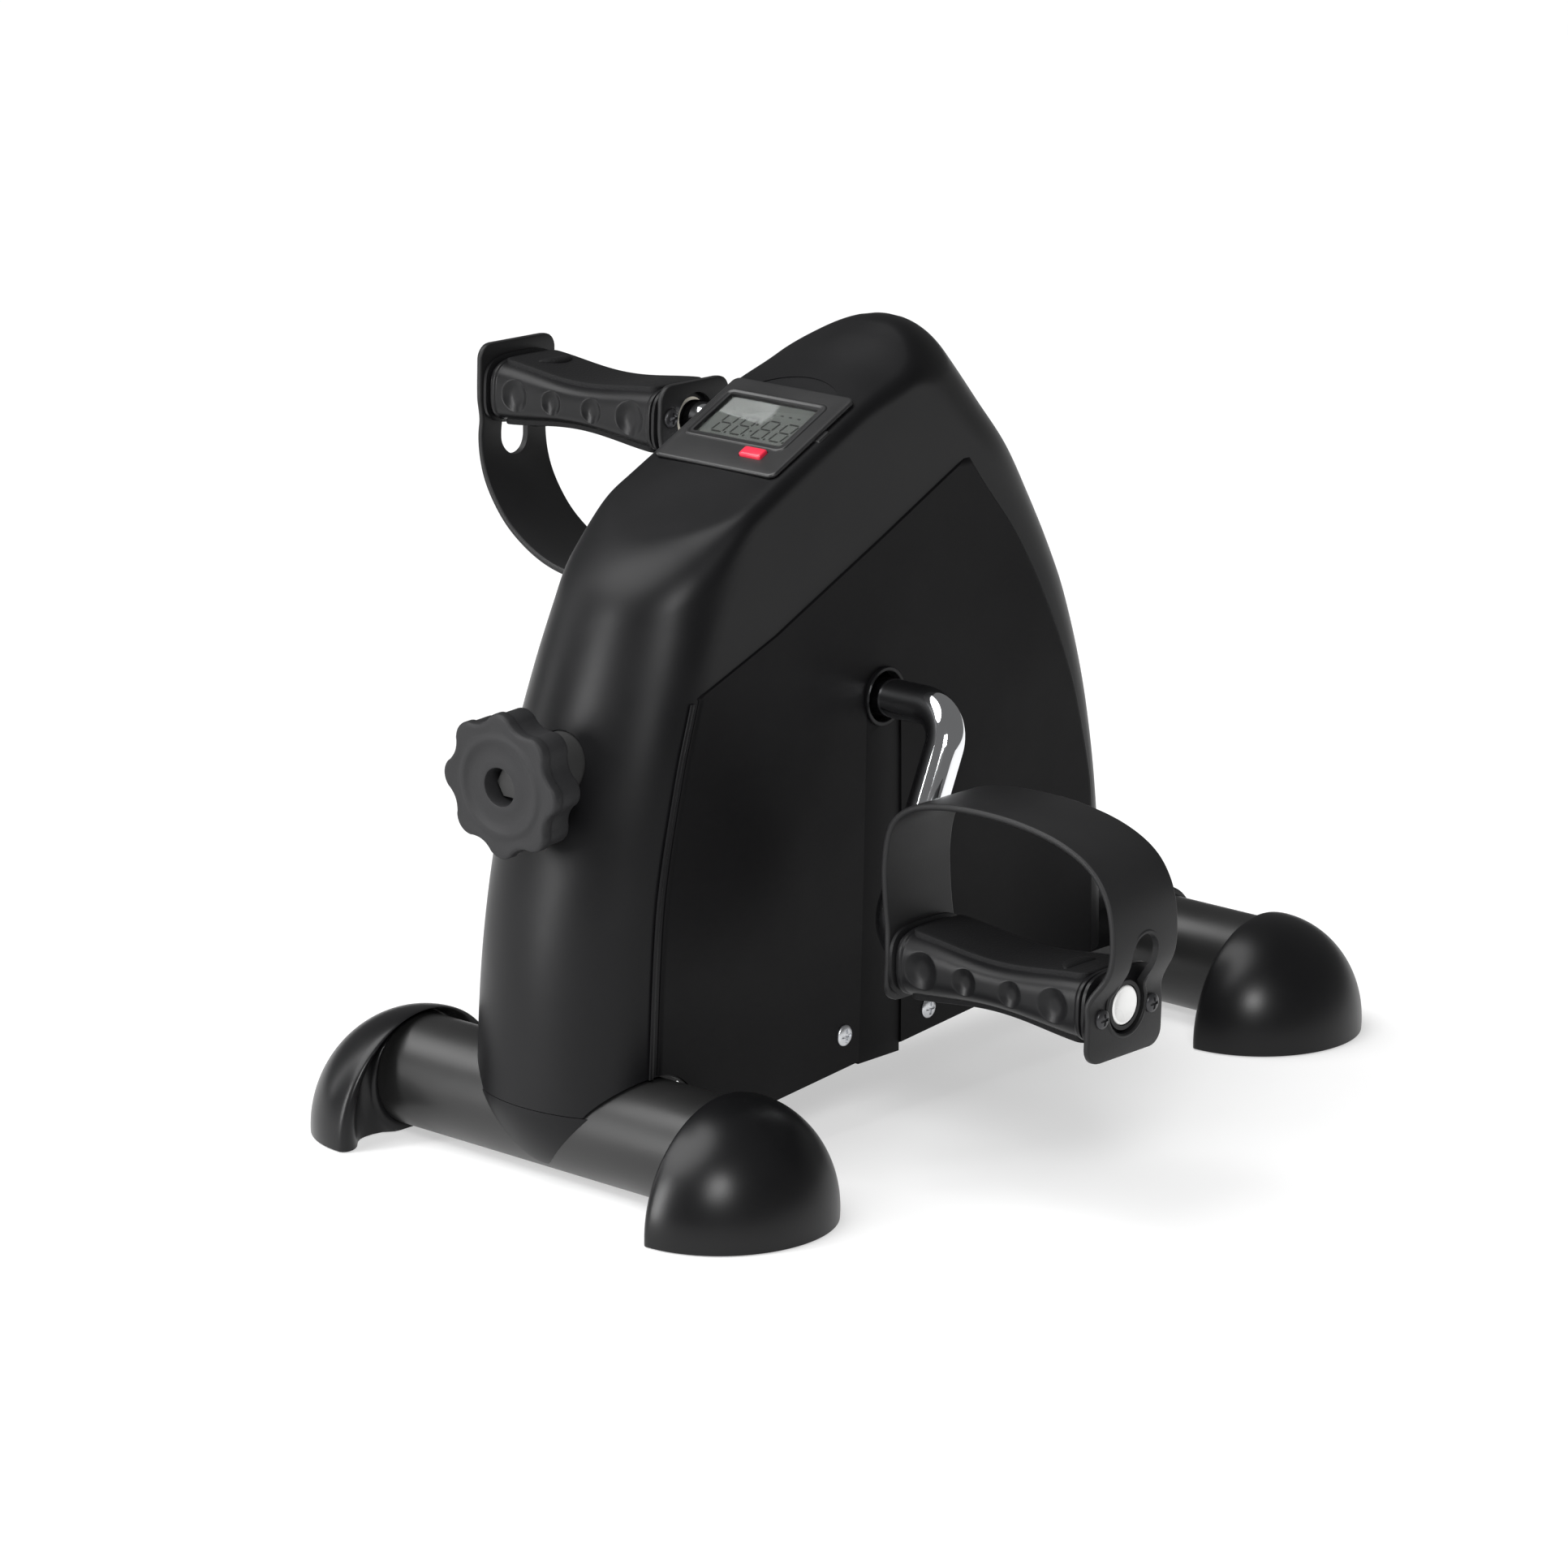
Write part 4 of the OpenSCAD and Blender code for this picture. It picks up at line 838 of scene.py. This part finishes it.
def tread_points():
    """Upper tread insert with rounded ends."""
    a, b, corner = PEDAL_IN + 5.2, PEDAL_OUT - 5.2, 3.5
    xs = np.concatenate([a + corner * (1 - np.cos(np.linspace(0, math.pi / 2, 7))),
                         np.linspace(a + 4.2, b - 4.2, 60),
                         b - corner * (1 - np.cos(np.linspace(math.pi / 2, 0, 7)))])
    rings = []
    for x in xs:
        end = min(x - a, b - x)
        half = 14.2 - (corner - math.sqrt(max(corner**2 - max(corner - end, 0) ** 2, 0.0)))
        z = waist(x) + 0.75
        edge = [(half, z - 0.55), (half - 0.15, z - 0.2), (half - 0.55, z)]
        section = [(-half, z - 2.4), (half, z - 2.4)] + edge
        section += [(y, z) for y in np.linspace(half - 2, 2 - half, 9)]
        section += [(-y, c) for y, c in reversed(edge)]
        lowered = z - 0.6 + min(0.6, 0.05 + end)
        rings.append([(x, y, min(c, lowered)) for y, c in section])
    return loft(rings)


def lug_points():
    """Low crescent lug that stops the foot sliding off the upper tread."""
    rings = []
    for u in np.linspace(-1, 1, 25):
        wide = 3.2 * (1 - u * u) ** 0.6 + 0.02
        x, y, z = 158.0 + 2.5 * u * u, -3.0 + 9.0 * u, waist(158.0 + 2.5 * u * u) + 0.7
        rings.append([(x + wide * math.cos(a), y, z + 1.5 * (1 - u * u) ** 0.5 * math.sin(a))
                      for a in np.linspace(0, math.pi, 9)]
                     + [(x - wide, y, z - 0.5), (x + wide, y, z - 0.5)])
    return loft(rings)


def turned_over(mesh):
    """The same mesh on the pedal's other face."""
    return [(x, -y, -z) for x, y, z in mesh[0]], mesh[1]


INNER_LEG_X = PEDAL_IN - STRAP_T / 2
OUTER_LEG_X = PEDAL_OUT + STRAP_T / 2


def strap_line(*arch):
    """A strap's middle line as (x, height over the pedal's axis): its arch between two straight legs."""
    inner = [(INNER_LEG_X, z) for z in (STRAP_FOOT_IN, -6, 4)]
    outer = [(OUTER_LEG_X, z) for z in (5, -3, STRAP_FOOT_OUT)]
    return np.array([*inner, *arch, *outer])


# The near strap stands up, the far one hangs.
STRAP_LINES = {
    "right": strap_line((84.2, 22), (83.4, 37), (86, 50), (94, 57.4), (107, 61), (124, 62.3), (143, 61.5),
                        (161, 58), (174.5, 51.5), (182, 42), (185, 30), (184.4, 17)),
    "left": strap_line((84.6, 22), (85.4, 38), (90.5, 52), (102, 61.5), (118, 65.6), (135, 64.8),
                       (149, 60.6), (162, 52.6), (171, 43), (177, 32), (179.4, 19)),
}


def smooth_line(points, step):
    """Catmull-Rom curve through the points, resampled at an even step."""
    dense = []
    for i in range(len(points) - 1):
        a, b = points[max(i - 1, 0)], points[i]
        c, d = points[i + 1], points[min(i + 2, len(points) - 1)]
        for u in np.linspace(0, 1, 24, endpoint=False):
            dense.append(0.5 * (2 * b + (c - a) * u + (2 * a - 5 * b + 4 * c - d) * u**2
                                + (3 * b - a - 3 * c + d) * u**3))
    dense.append(points[-1])
    dense = np.array(dense)
    run = np.concatenate([[0], np.cumsum(np.linalg.norm(np.diff(dense, axis=0), axis=1))])
    even = np.linspace(0, run[-1], int(run[-1] / step) + 1)
    return np.stack([np.interp(even, run, dense[:, k]) for k in (0, 1)], axis=1), even


def strap_half_width(height, plate_half, foot):
    """Half width of a leg by how high it is over the pedal's axis, down to its round-cornered plate."""
    flare = (plate_half - STRAP_HALF) * (1 - ease((height - 2) / 12.0))
    corner = 6.0
    over = min(max(corner - (height - foot), 0.0), corner)
    return STRAP_HALF + flare - corner + math.sqrt(corner**2 - over**2)


# How far a strap's leg runs from its foot before the arch starts.
LEG_RUN = 60.0


def strap_points(middle):
    """The strap swept along its middle line, with fine steps at its rounded ends."""
    line, run = smooth_line(middle, 0.8)
    ends = np.array([0.15, 0.5])
    steps = np.unique(np.concatenate([run, run[-1] - ends, ends]))
    even = np.linspace(0, run[-1], len(line))
    line = np.stack([np.interp(steps, even, line[:, k]) for k in (0, 1)], axis=1)
    rings = []
    for i, (x, z) in enumerate(line):
        out = across(line[max(i - 1, 0)], line[min(i + 1, len(line) - 1)])
        half = STRAP_HALF
        if steps[i] < LEG_RUN:
            half = strap_half_width(z, INNER_PLATE_HALF, STRAP_FOOT_IN)
        elif steps[-1] - steps[i] < LEG_RUN:
            half = strap_half_width(z, OUTER_PLATE_HALF, STRAP_FOOT_OUT)
        section = rounded_box(2 * half, STRAP_T - 0.1, 0.95, 4)
        rings.append([(x + out[0] * c, y, z + out[1] * c) for y, c in section])
    return loft(rings)


KEYHOLE_SLOT_R = 7.5
KEYHOLE_TOP = 20.0


def keyhole_outline(grow=0.0):
    """Round boss hole opening upwards into a slot, as (y, z)."""
    r, slot, fillet = BOSS_R + grow, KEYHOLE_SLOT_R + grow, 2.6
    cy = slot + fillet
    cz = math.sqrt((r + fillet) ** 2 - cy**2)
    a0 = math.degrees(math.atan2(cz, cy))
    right = arc(0, 0, r, -90, a0, 22)
    right += arc(cy, cz, fillet, 180 + a0, 180, 7)
    right += arc(0, KEYHOLE_TOP, slot, 0, 90, 12)
    left = [(-y, z) for y, z in reversed(right)]
    return right[:-1] + left[:-1]


def strap_outer_x(middle, z):
    """X of the strap's outer skin on the outer leg, at a height over the pedal's axis."""
    leg = middle[-6:]
    order = np.argsort(leg[:, 1])
    return float(np.interp(z, leg[order, 1], leg[order, 0])) + STRAP_T / 2


def rim_points(middle):
    """Raised rim that runs round the outer keyhole."""
    base = keyhole_outline(grow=0.85)
    rings = []
    for i, (y, z) in enumerate(base):
        side = across(base[i - 1], base[(i + 1) % len(base)])
        x = strap_outer_x(middle, z) - 0.1
        wide = [0.8 * math.cos(t) for t in turns(8)]
        rings.append([(x + 0.55 * math.sin(t), y + c * side[0], z + c * side[1])
                      for t, c in zip(turns(8), wide)])
    return loft(rings + rings[:1], cap_ends=False)


def screw_head(r, h, recess):
    """Domed cross-recess head on the X axis, its seat at x = 0."""
    profile = [(-0.6, r * 0.92), (0.0, r), (0.25 * h, r)]
    profile += [(0.25 * h + 0.75 * h * math.sin(a), r * math.cos(a))
                for a in np.linspace(0.15, math.pi / 2, 8)[:-1]]
    obj = raw_object("screw", *loft(lathe(profile + [(h, 0.05)], 40)))
    cut(obj, [prism("arm", rectangle(-w, -l, w, l), h - recess, h + 1)
              for w, l in ((0.16 * r, 0.62 * r), (0.62 * r, 0.16 * r))])
    return obj


def stamp(template, name, places):
    """One object holding a copy of the template mesh at each matrix in mm."""
    mesh = bpy.data.meshes.new(name)
    with edited(mesh) as work:
        for matrix in places:
            before = len(work.verts)
            work.from_mesh(template.data)
            work.verts.ensure_lookup_table()
            bmesh.ops.transform(work, matrix=in_metres(matrix), verts=work.verts[before:])
        bmesh.ops.recalc_face_normals(work, faces=work.faces)
    return add_object(name, mesh)


FLIP_X = Matrix.Rotation(math.pi, 4, "Z")


def hub(profile, steps=64, cap_ends=True):
    """Turned mesh from (distance past the pedal's outer end, r) pairs."""
    return loft(lathe([(PEDAL_OUT + x, r) for x, r in profile], steps), cap_ends)


def pedal_piece(side, name, mesh, slot, angle, node=None, tools=()):
    """One piece of a pedal, which stands for `node` of that side."""
    obj = placed(f"{name}_{side}", mesh, PEDAL_FRAMES[side])
    if tools:
        cut(obj, tools)
    finish_piece(obj, "pedal_" + side, slot, [f"{node}_{side}"] if node else (), angle=angle)


def make_pedals():
    shell = pedal_body_points()
    tread, lug = tread_points(), lug_points()
    treads = (("upper", tread, lug), ("lower", turned_over(tread), turned_over(lug)))
    bore = loft(lathe([(PEDAL_IN - 3, 8.05), (PEDAL_IN + 11, 8.05)], 48))
    recess = hub([(-4, 7.25), (3, 7.25)])
    ring = hub([(-1, 9.3), (1.4, 9.3), (1.9, 8.9), (1.9, 7.4), (-1, 7.4), (-1, 9.3)], cap_ends=False)
    disc = hub([(0.4, 7.1), (1.5, 7.1), (1.95, 6.7), (1.95, 6.1), (1.7, 5.8), (1.75, 0.02)])
    boss_hole = (PEDAL_IN - 9, PEDAL_IN + 2, arc(0, 0, BOSS_R, 0, 354, 60))
    keyhole = (PEDAL_OUT - 2, PEDAL_OUT + 14, keyhole_outline())
    head = screw_head(3.5, 1.7, 0.9)
    for side, place in PEDAL_FRAMES.items():
        bores = [placed("bore", mesh, place) for mesh in (bore, recess)]
        pedal_piece(side, "pedal_shell", shell, "pedal_plastic", 45, "pedal_body", bores)
        pedal_piece(side, "hub_ring", ring, "pedal_plastic", 50)
        for which, tread_mesh, lug_mesh in treads:
            pedal_piece(side, "tread_" + which, tread_mesh, "tread_rubber", 40, "pedal_treads")
            pedal_piece(side, "tread_lug_" + which, lug_mesh, "tread_rubber", 60)
        holes = [in_frame(prism("keyhole", outline, lo, hi), place)
                 for lo, hi, outline in (boss_hole, keyhole)]
        middle = STRAP_LINES[side]
        pedal_piece(side, "strap", strap_points(middle), "strap_rubber", 50, "foot_strap", holes)
        pedal_piece(side, "keyhole_rim", rim_points(middle), "strap_rubber", 60)
        spots = []
        for s in (-1, 1):
            y, z = s * STRAP_SCREW[0], STRAP_SCREW[1]
            spots.append(place @ Matrix.Translation((PEDAL_OUT + STRAP_T, y, z)))
            spots.append(place @ Matrix.Translation((PEDAL_IN - STRAP_T, y, z)) @ FLIP_X)
        screws = stamp(head, "strap_screw_heads_" + side, spots)
        finish_piece(screws, "pedal_" + side, "dark_steel", ["strap_screws_" + side], angle=40)
        pedal_piece(side, "hub_disc", disc, "disc_plastic", 50, "pedal_cap")
    drop([head])


# ---- knob
KNOB_R = 25.0


def knob_radius(a):
    """Outline of the lobed rim: broad lobes with shallow hollows between."""
    c = math.cos(8 * (a - math.radians(1.5)))
    return KNOB_R - 0.05 + 1.75 * math.copysign(abs(c) ** 0.8, c)


def make_knob():
    # Share of the lobes, mean radius and depth, from the hole in the face out to the rim.
    face = [(0, 6.9, 9.0), (0, 6.9, 0.9), (0, 7.1, 0.45), (0, 7.6, 0.3), (0, 10.0, 0.75), (0, 13.0, 0.85),
            (0, 15.6, 0.55), (0, 16.4, 0.1), (0, 17.2, 0.0), (0, 18.2, 0.05), (0, 18.9, 0.35),
            (0.25, 20.2, 0.4), (0.6, 22.0, 0.3)]
    # Inset from the lobed outline and depth, round the rim.
    rim = [(1.4, 0.15), (0.7, 0.3), (0.2, 0.8), (0.0, 1.5), (0.0, 4.2), (0.25, 4.6), (0.9, 4.8), (0.9, 5.4),
           (0.75, 6.2), (0.75, 13.2), (1.1, 14.2), (1.9, 14.9), (3.2, 15.0)]
    end = KNOB_REACH - HUB_END
    back = [(0.3, 19.0, 14.6), (0, 13.4, 14.4), (0, 12.5, 15.2), (0, 12.5, end - 0.4), (0, 12.0, end),
            (0, 5.8, end)]
    rings = []
    for lobed, r, depth in face + [(1, KNOB_R - inset, depth) for inset, depth in rim] + back:
        polar = [(a, r + lobed * (knob_radius(a) - KNOB_R)) for a in turns(320)]
        rings.append([(d * math.sin(a), depth - KNOB_REACH, d * math.cos(a)) for a, d in polar])
    obj = placed("lobed_knob", loft(rings), BRAKE_FRAME)
    finish_piece(obj, "knob", "knob_plastic", ["tension_knob"], angle=48)


# ---- monitor
WINDOW_AT = (-1.75, 3.3)
WINDOW_W = 41.5
WINDOW_L = 23.8
BUTTON_AT = (11.7, -15.3)
BUTTON_W = 10.0
BUTTON_L = 5.0


def monitor_piece(name, mesh, slot, stands_for=(), body="base", material=None, angle=40):
    obj = placed(name, mesh, MONITOR_FRAME)
    finish_piece(obj, body, slot, stands_for, material=material, angle=angle)


def make_monitor():
    rise = MONITOR_RISE
    bezel = raw_object("monitor_bezel", *slab(
        MONITOR_W, MONITOR_L, 3.0, 8, (0.0, 0.0),
        [(0.9, -rise), (0.3, 0.25 - rise), (0.0, 0.8 - rise), (0.0, -1.1), (0.12, -0.75), (0.45, -0.5),
         (1.0, -0.42)], tightening=1.0))
    window = prism("window", rounded_box(WINDOW_W, WINDOW_L, 0.8, 4, WINDOW_AT), -6, 3, "z")
    button_outline = rounded_box(BUTTON_W + 0.5, BUTTON_L + 0.5, 0.9, 4, BUTTON_AT)
    cut(bezel, [window, prism("button_hole", button_outline, -6, 3, "z")])
    finish_piece(in_frame(bezel, MONITOR_FRAME), "base", "monitor_plastic", ["monitor_face"], angle=40)
    ridge = [(-3.1, -0.6), (-2.9, -0.2), (-2.5, 0.0), (-1.9, 0.0), (-1.5, -0.15), (-0.1, -1.0), (-0.1, -1.6),
             (-3.1, -1.6), (-3.1, -0.6)]
    monitor_piece("monitor_frame", slab(WINDOW_W, WINDOW_L, 1.2, 8, WINDOW_AT, ridge, 0.7, cap_ends=False),
                  "monitor_plastic")
    glass = [(0.0, -2.2), (0.0, -1.65), (0.1, -1.55)]
    monitor_piece("lens_sheet", slab(WINDOW_W + 0.1, WINDOW_L + 0.1, 0.8, 6, WINDOW_AT, glass),
                  "clear_lens", ["monitor_lens"])
    monitor_piece("lcd_marks", lcd_marks(*WINDOW_AT), "lcd", material="lcd_ink", angle=30)
    key = [(0.0, -5.0), (0.0, 0.25), (0.08, 0.55), (0.35, 0.85), (0.9, 0.98)]
    monitor_piece("red_button", slab(BUTTON_W, BUTTON_L, 0.8, 5, BUTTON_AT, key), "button_red",
                  ["reset_button"], "button", angle=60)
    monitor_piece("monitor_clip_tab", slab(3.2, 7.0, 0.7, 4, (MONITOR_W / 2 + 0.2, 3.0),
                                           [(0.0, -4.2), (0.0, -2.4), (0.3, -2.0)]), "monitor_plastic")


def bar(a, b, w, slant):
    """Outline of one display segment from a to b: a long hexagon, sheared by slant."""
    a, b = np.array(a), np.array(b)
    n = across(a, b) * w / 2
    tip = np.array([n[1], -n[0]])
    ring = [a, a + tip + n, b - tip + n, b, b - tip - n, a + tip - n]
    return [(p[0] + slant * p[1], p[1]) for p in ring]


def lcd_marks(cx, cy):
    """Mesh of four lit digits, their points, a colon and a row of flags."""
    w, h, gap = 5.2, 10.6, 0.35
    half, foot = h / 2, cy - 8.2
    shapes = []
    for k in range(4):
        left = cx - 15.4 + k * 8.6 + (1.2 if k > 1 else 0.0)
        segments = [((gap, y), (w - gap, y)) for y in (0, half, h)]
        segments += [((x, y + gap), (x, y + half - gap)) for x in (0, w) for y in (0, half)]
        for a, b in segments:
            shapes.append([(left + x, foot + y) for x, y in bar(a, b, 0.75, 0.14)])
        shapes.append(rounded_box(0.9, 0.9, 0.2, 3, (left + w + 1.5, foot + 0.2)))
    shapes += [rounded_box(0.9, 0.9, 0.2, 3, (cx + 1.1, foot + y)) for y in (3.2, 7.2)]
    shapes += [rounded_box(1.5, 0.55, 0.15, 3, (cx - 8.5 + k * 3.9, cy + 6.2)) for k in range(7)]
    points, faces = [], []
    for outline in shapes:
        more, sides = loft([[(x, y, z) for x, y in outline] for z in (-2.42, -2.3)])
        faces += [tuple(len(points) + i for i in face) for face in sides]
        points += more
    return points, faces


# ---- fasteners
def make_shell_screws():
    head = screw_head(4.0, 1.6, 0.8)
    seat = side_x(SCREW_Z) + PANEL_PROUD - 0.1
    spots = [Matrix.Translation((s * seat, y, SCREW_Z)) @ (Matrix.Identity(4) if s > 0 else FLIP_X)
             for y in SCREW_Y for _, s in SIDES]
    obj = stamp(head, "shell_screw_heads", spots)
    finish_piece(obj, "base", "zinc_steel", ["housing_screws"], angle=40)
    drop([head])


# ---- carried-over CAD nodes
DARKER = {"tension_screw": "sensor_black"}


def dress_cad_nodes():
    """Gives every CAD node that still shows the material of its slot."""
    slots = {s["node"]: s["material_slot"] for s in frame["record"]["subparts"]}
    for name, obj in frame["nodes"].items():
        obj.data.materials.clear()
        obj.data.materials.append(MATERIALS[DARKER.get(name, slots[name])])


# ---- stage
def facing(at, aim):
    """Rotation that points a light at `at` towards `aim`."""
    return (Vector(aim) - Vector(at)).to_track_quat("-Z", "Y").to_euler()


def area_light(name, at, aim, size_x, size_y, power):
    data = bpy.data.lights.new(name, "AREA")
    data.shape = "RECTANGLE"
    data.size = size_x
    data.size_y = size_y
    data.energy = power
    light = add_object(name, data)
    light.location = at
    light.rotation_euler = facing(at, aim)


def make_stage():
    bpy.ops.mesh.primitive_plane_add(size=14.0, location=(0.0, 0.0, -0.0005))
    floor = bpy.context.object
    floor.name = "floor"
    paper = moulded("paper", (0.5, 0.5, 0.5), 0.8, grain=300.0, shade=0.01)
    glow = paper.node_tree.nodes["Principled BSDF"]
    glow.inputs["Emission Color"].default_value = (1.0, 1.0, 1.0, 1.0)
    glow.inputs["Emission Strength"].default_value = 0.5
    floor.data.materials.append(paper)
    world = bpy.data.worlds.new("studio")
    world.use_nodes = True
    sky = world.node_tree.nodes["Background"]
    sky.inputs["Color"].default_value = (1.0, 1.0, 1.0, 1.0)
    sky.inputs["Strength"].default_value = 0.15
    bpy.context.scene.world = world
    bpy.context.scene.view_settings.view_transform = "Standard"
    sun = bpy.data.lights.new("sky_sun", "SUN")
    sun.energy = 3.2
    sun.angle = math.radians(50)
    add_object("sky_sun", sun).rotation_euler = facing((-0.42, -0.42, 1.0), (0.0, 0.0, 0.0))
    area_light("front_strip", (-0.8, -1.85, 0.5), (0.0, -0.15, 0.14), 0.3, 1.2, 28.0)
    area_light("left_strip", (-1.7, -0.7, 0.8), (0.0, -0.1, 0.14), 0.3, 1.2, 4.0)
    area_light("right_box", (1.5, -1.6, 1.5), (0.0, -0.1, 0.16), 0.7, 0.7, 34.0)


dress_cad_nodes()
make_housing()
make_side_panels()
make_panel_beads()
make_slot_covers()
make_crank_rings()
make_front_saddle()
make_rear_saddle()
make_tubes()
make_caps()
make_cranks()
make_pedals()
make_knob()
make_monitor()
make_shell_screws()
make_stage()
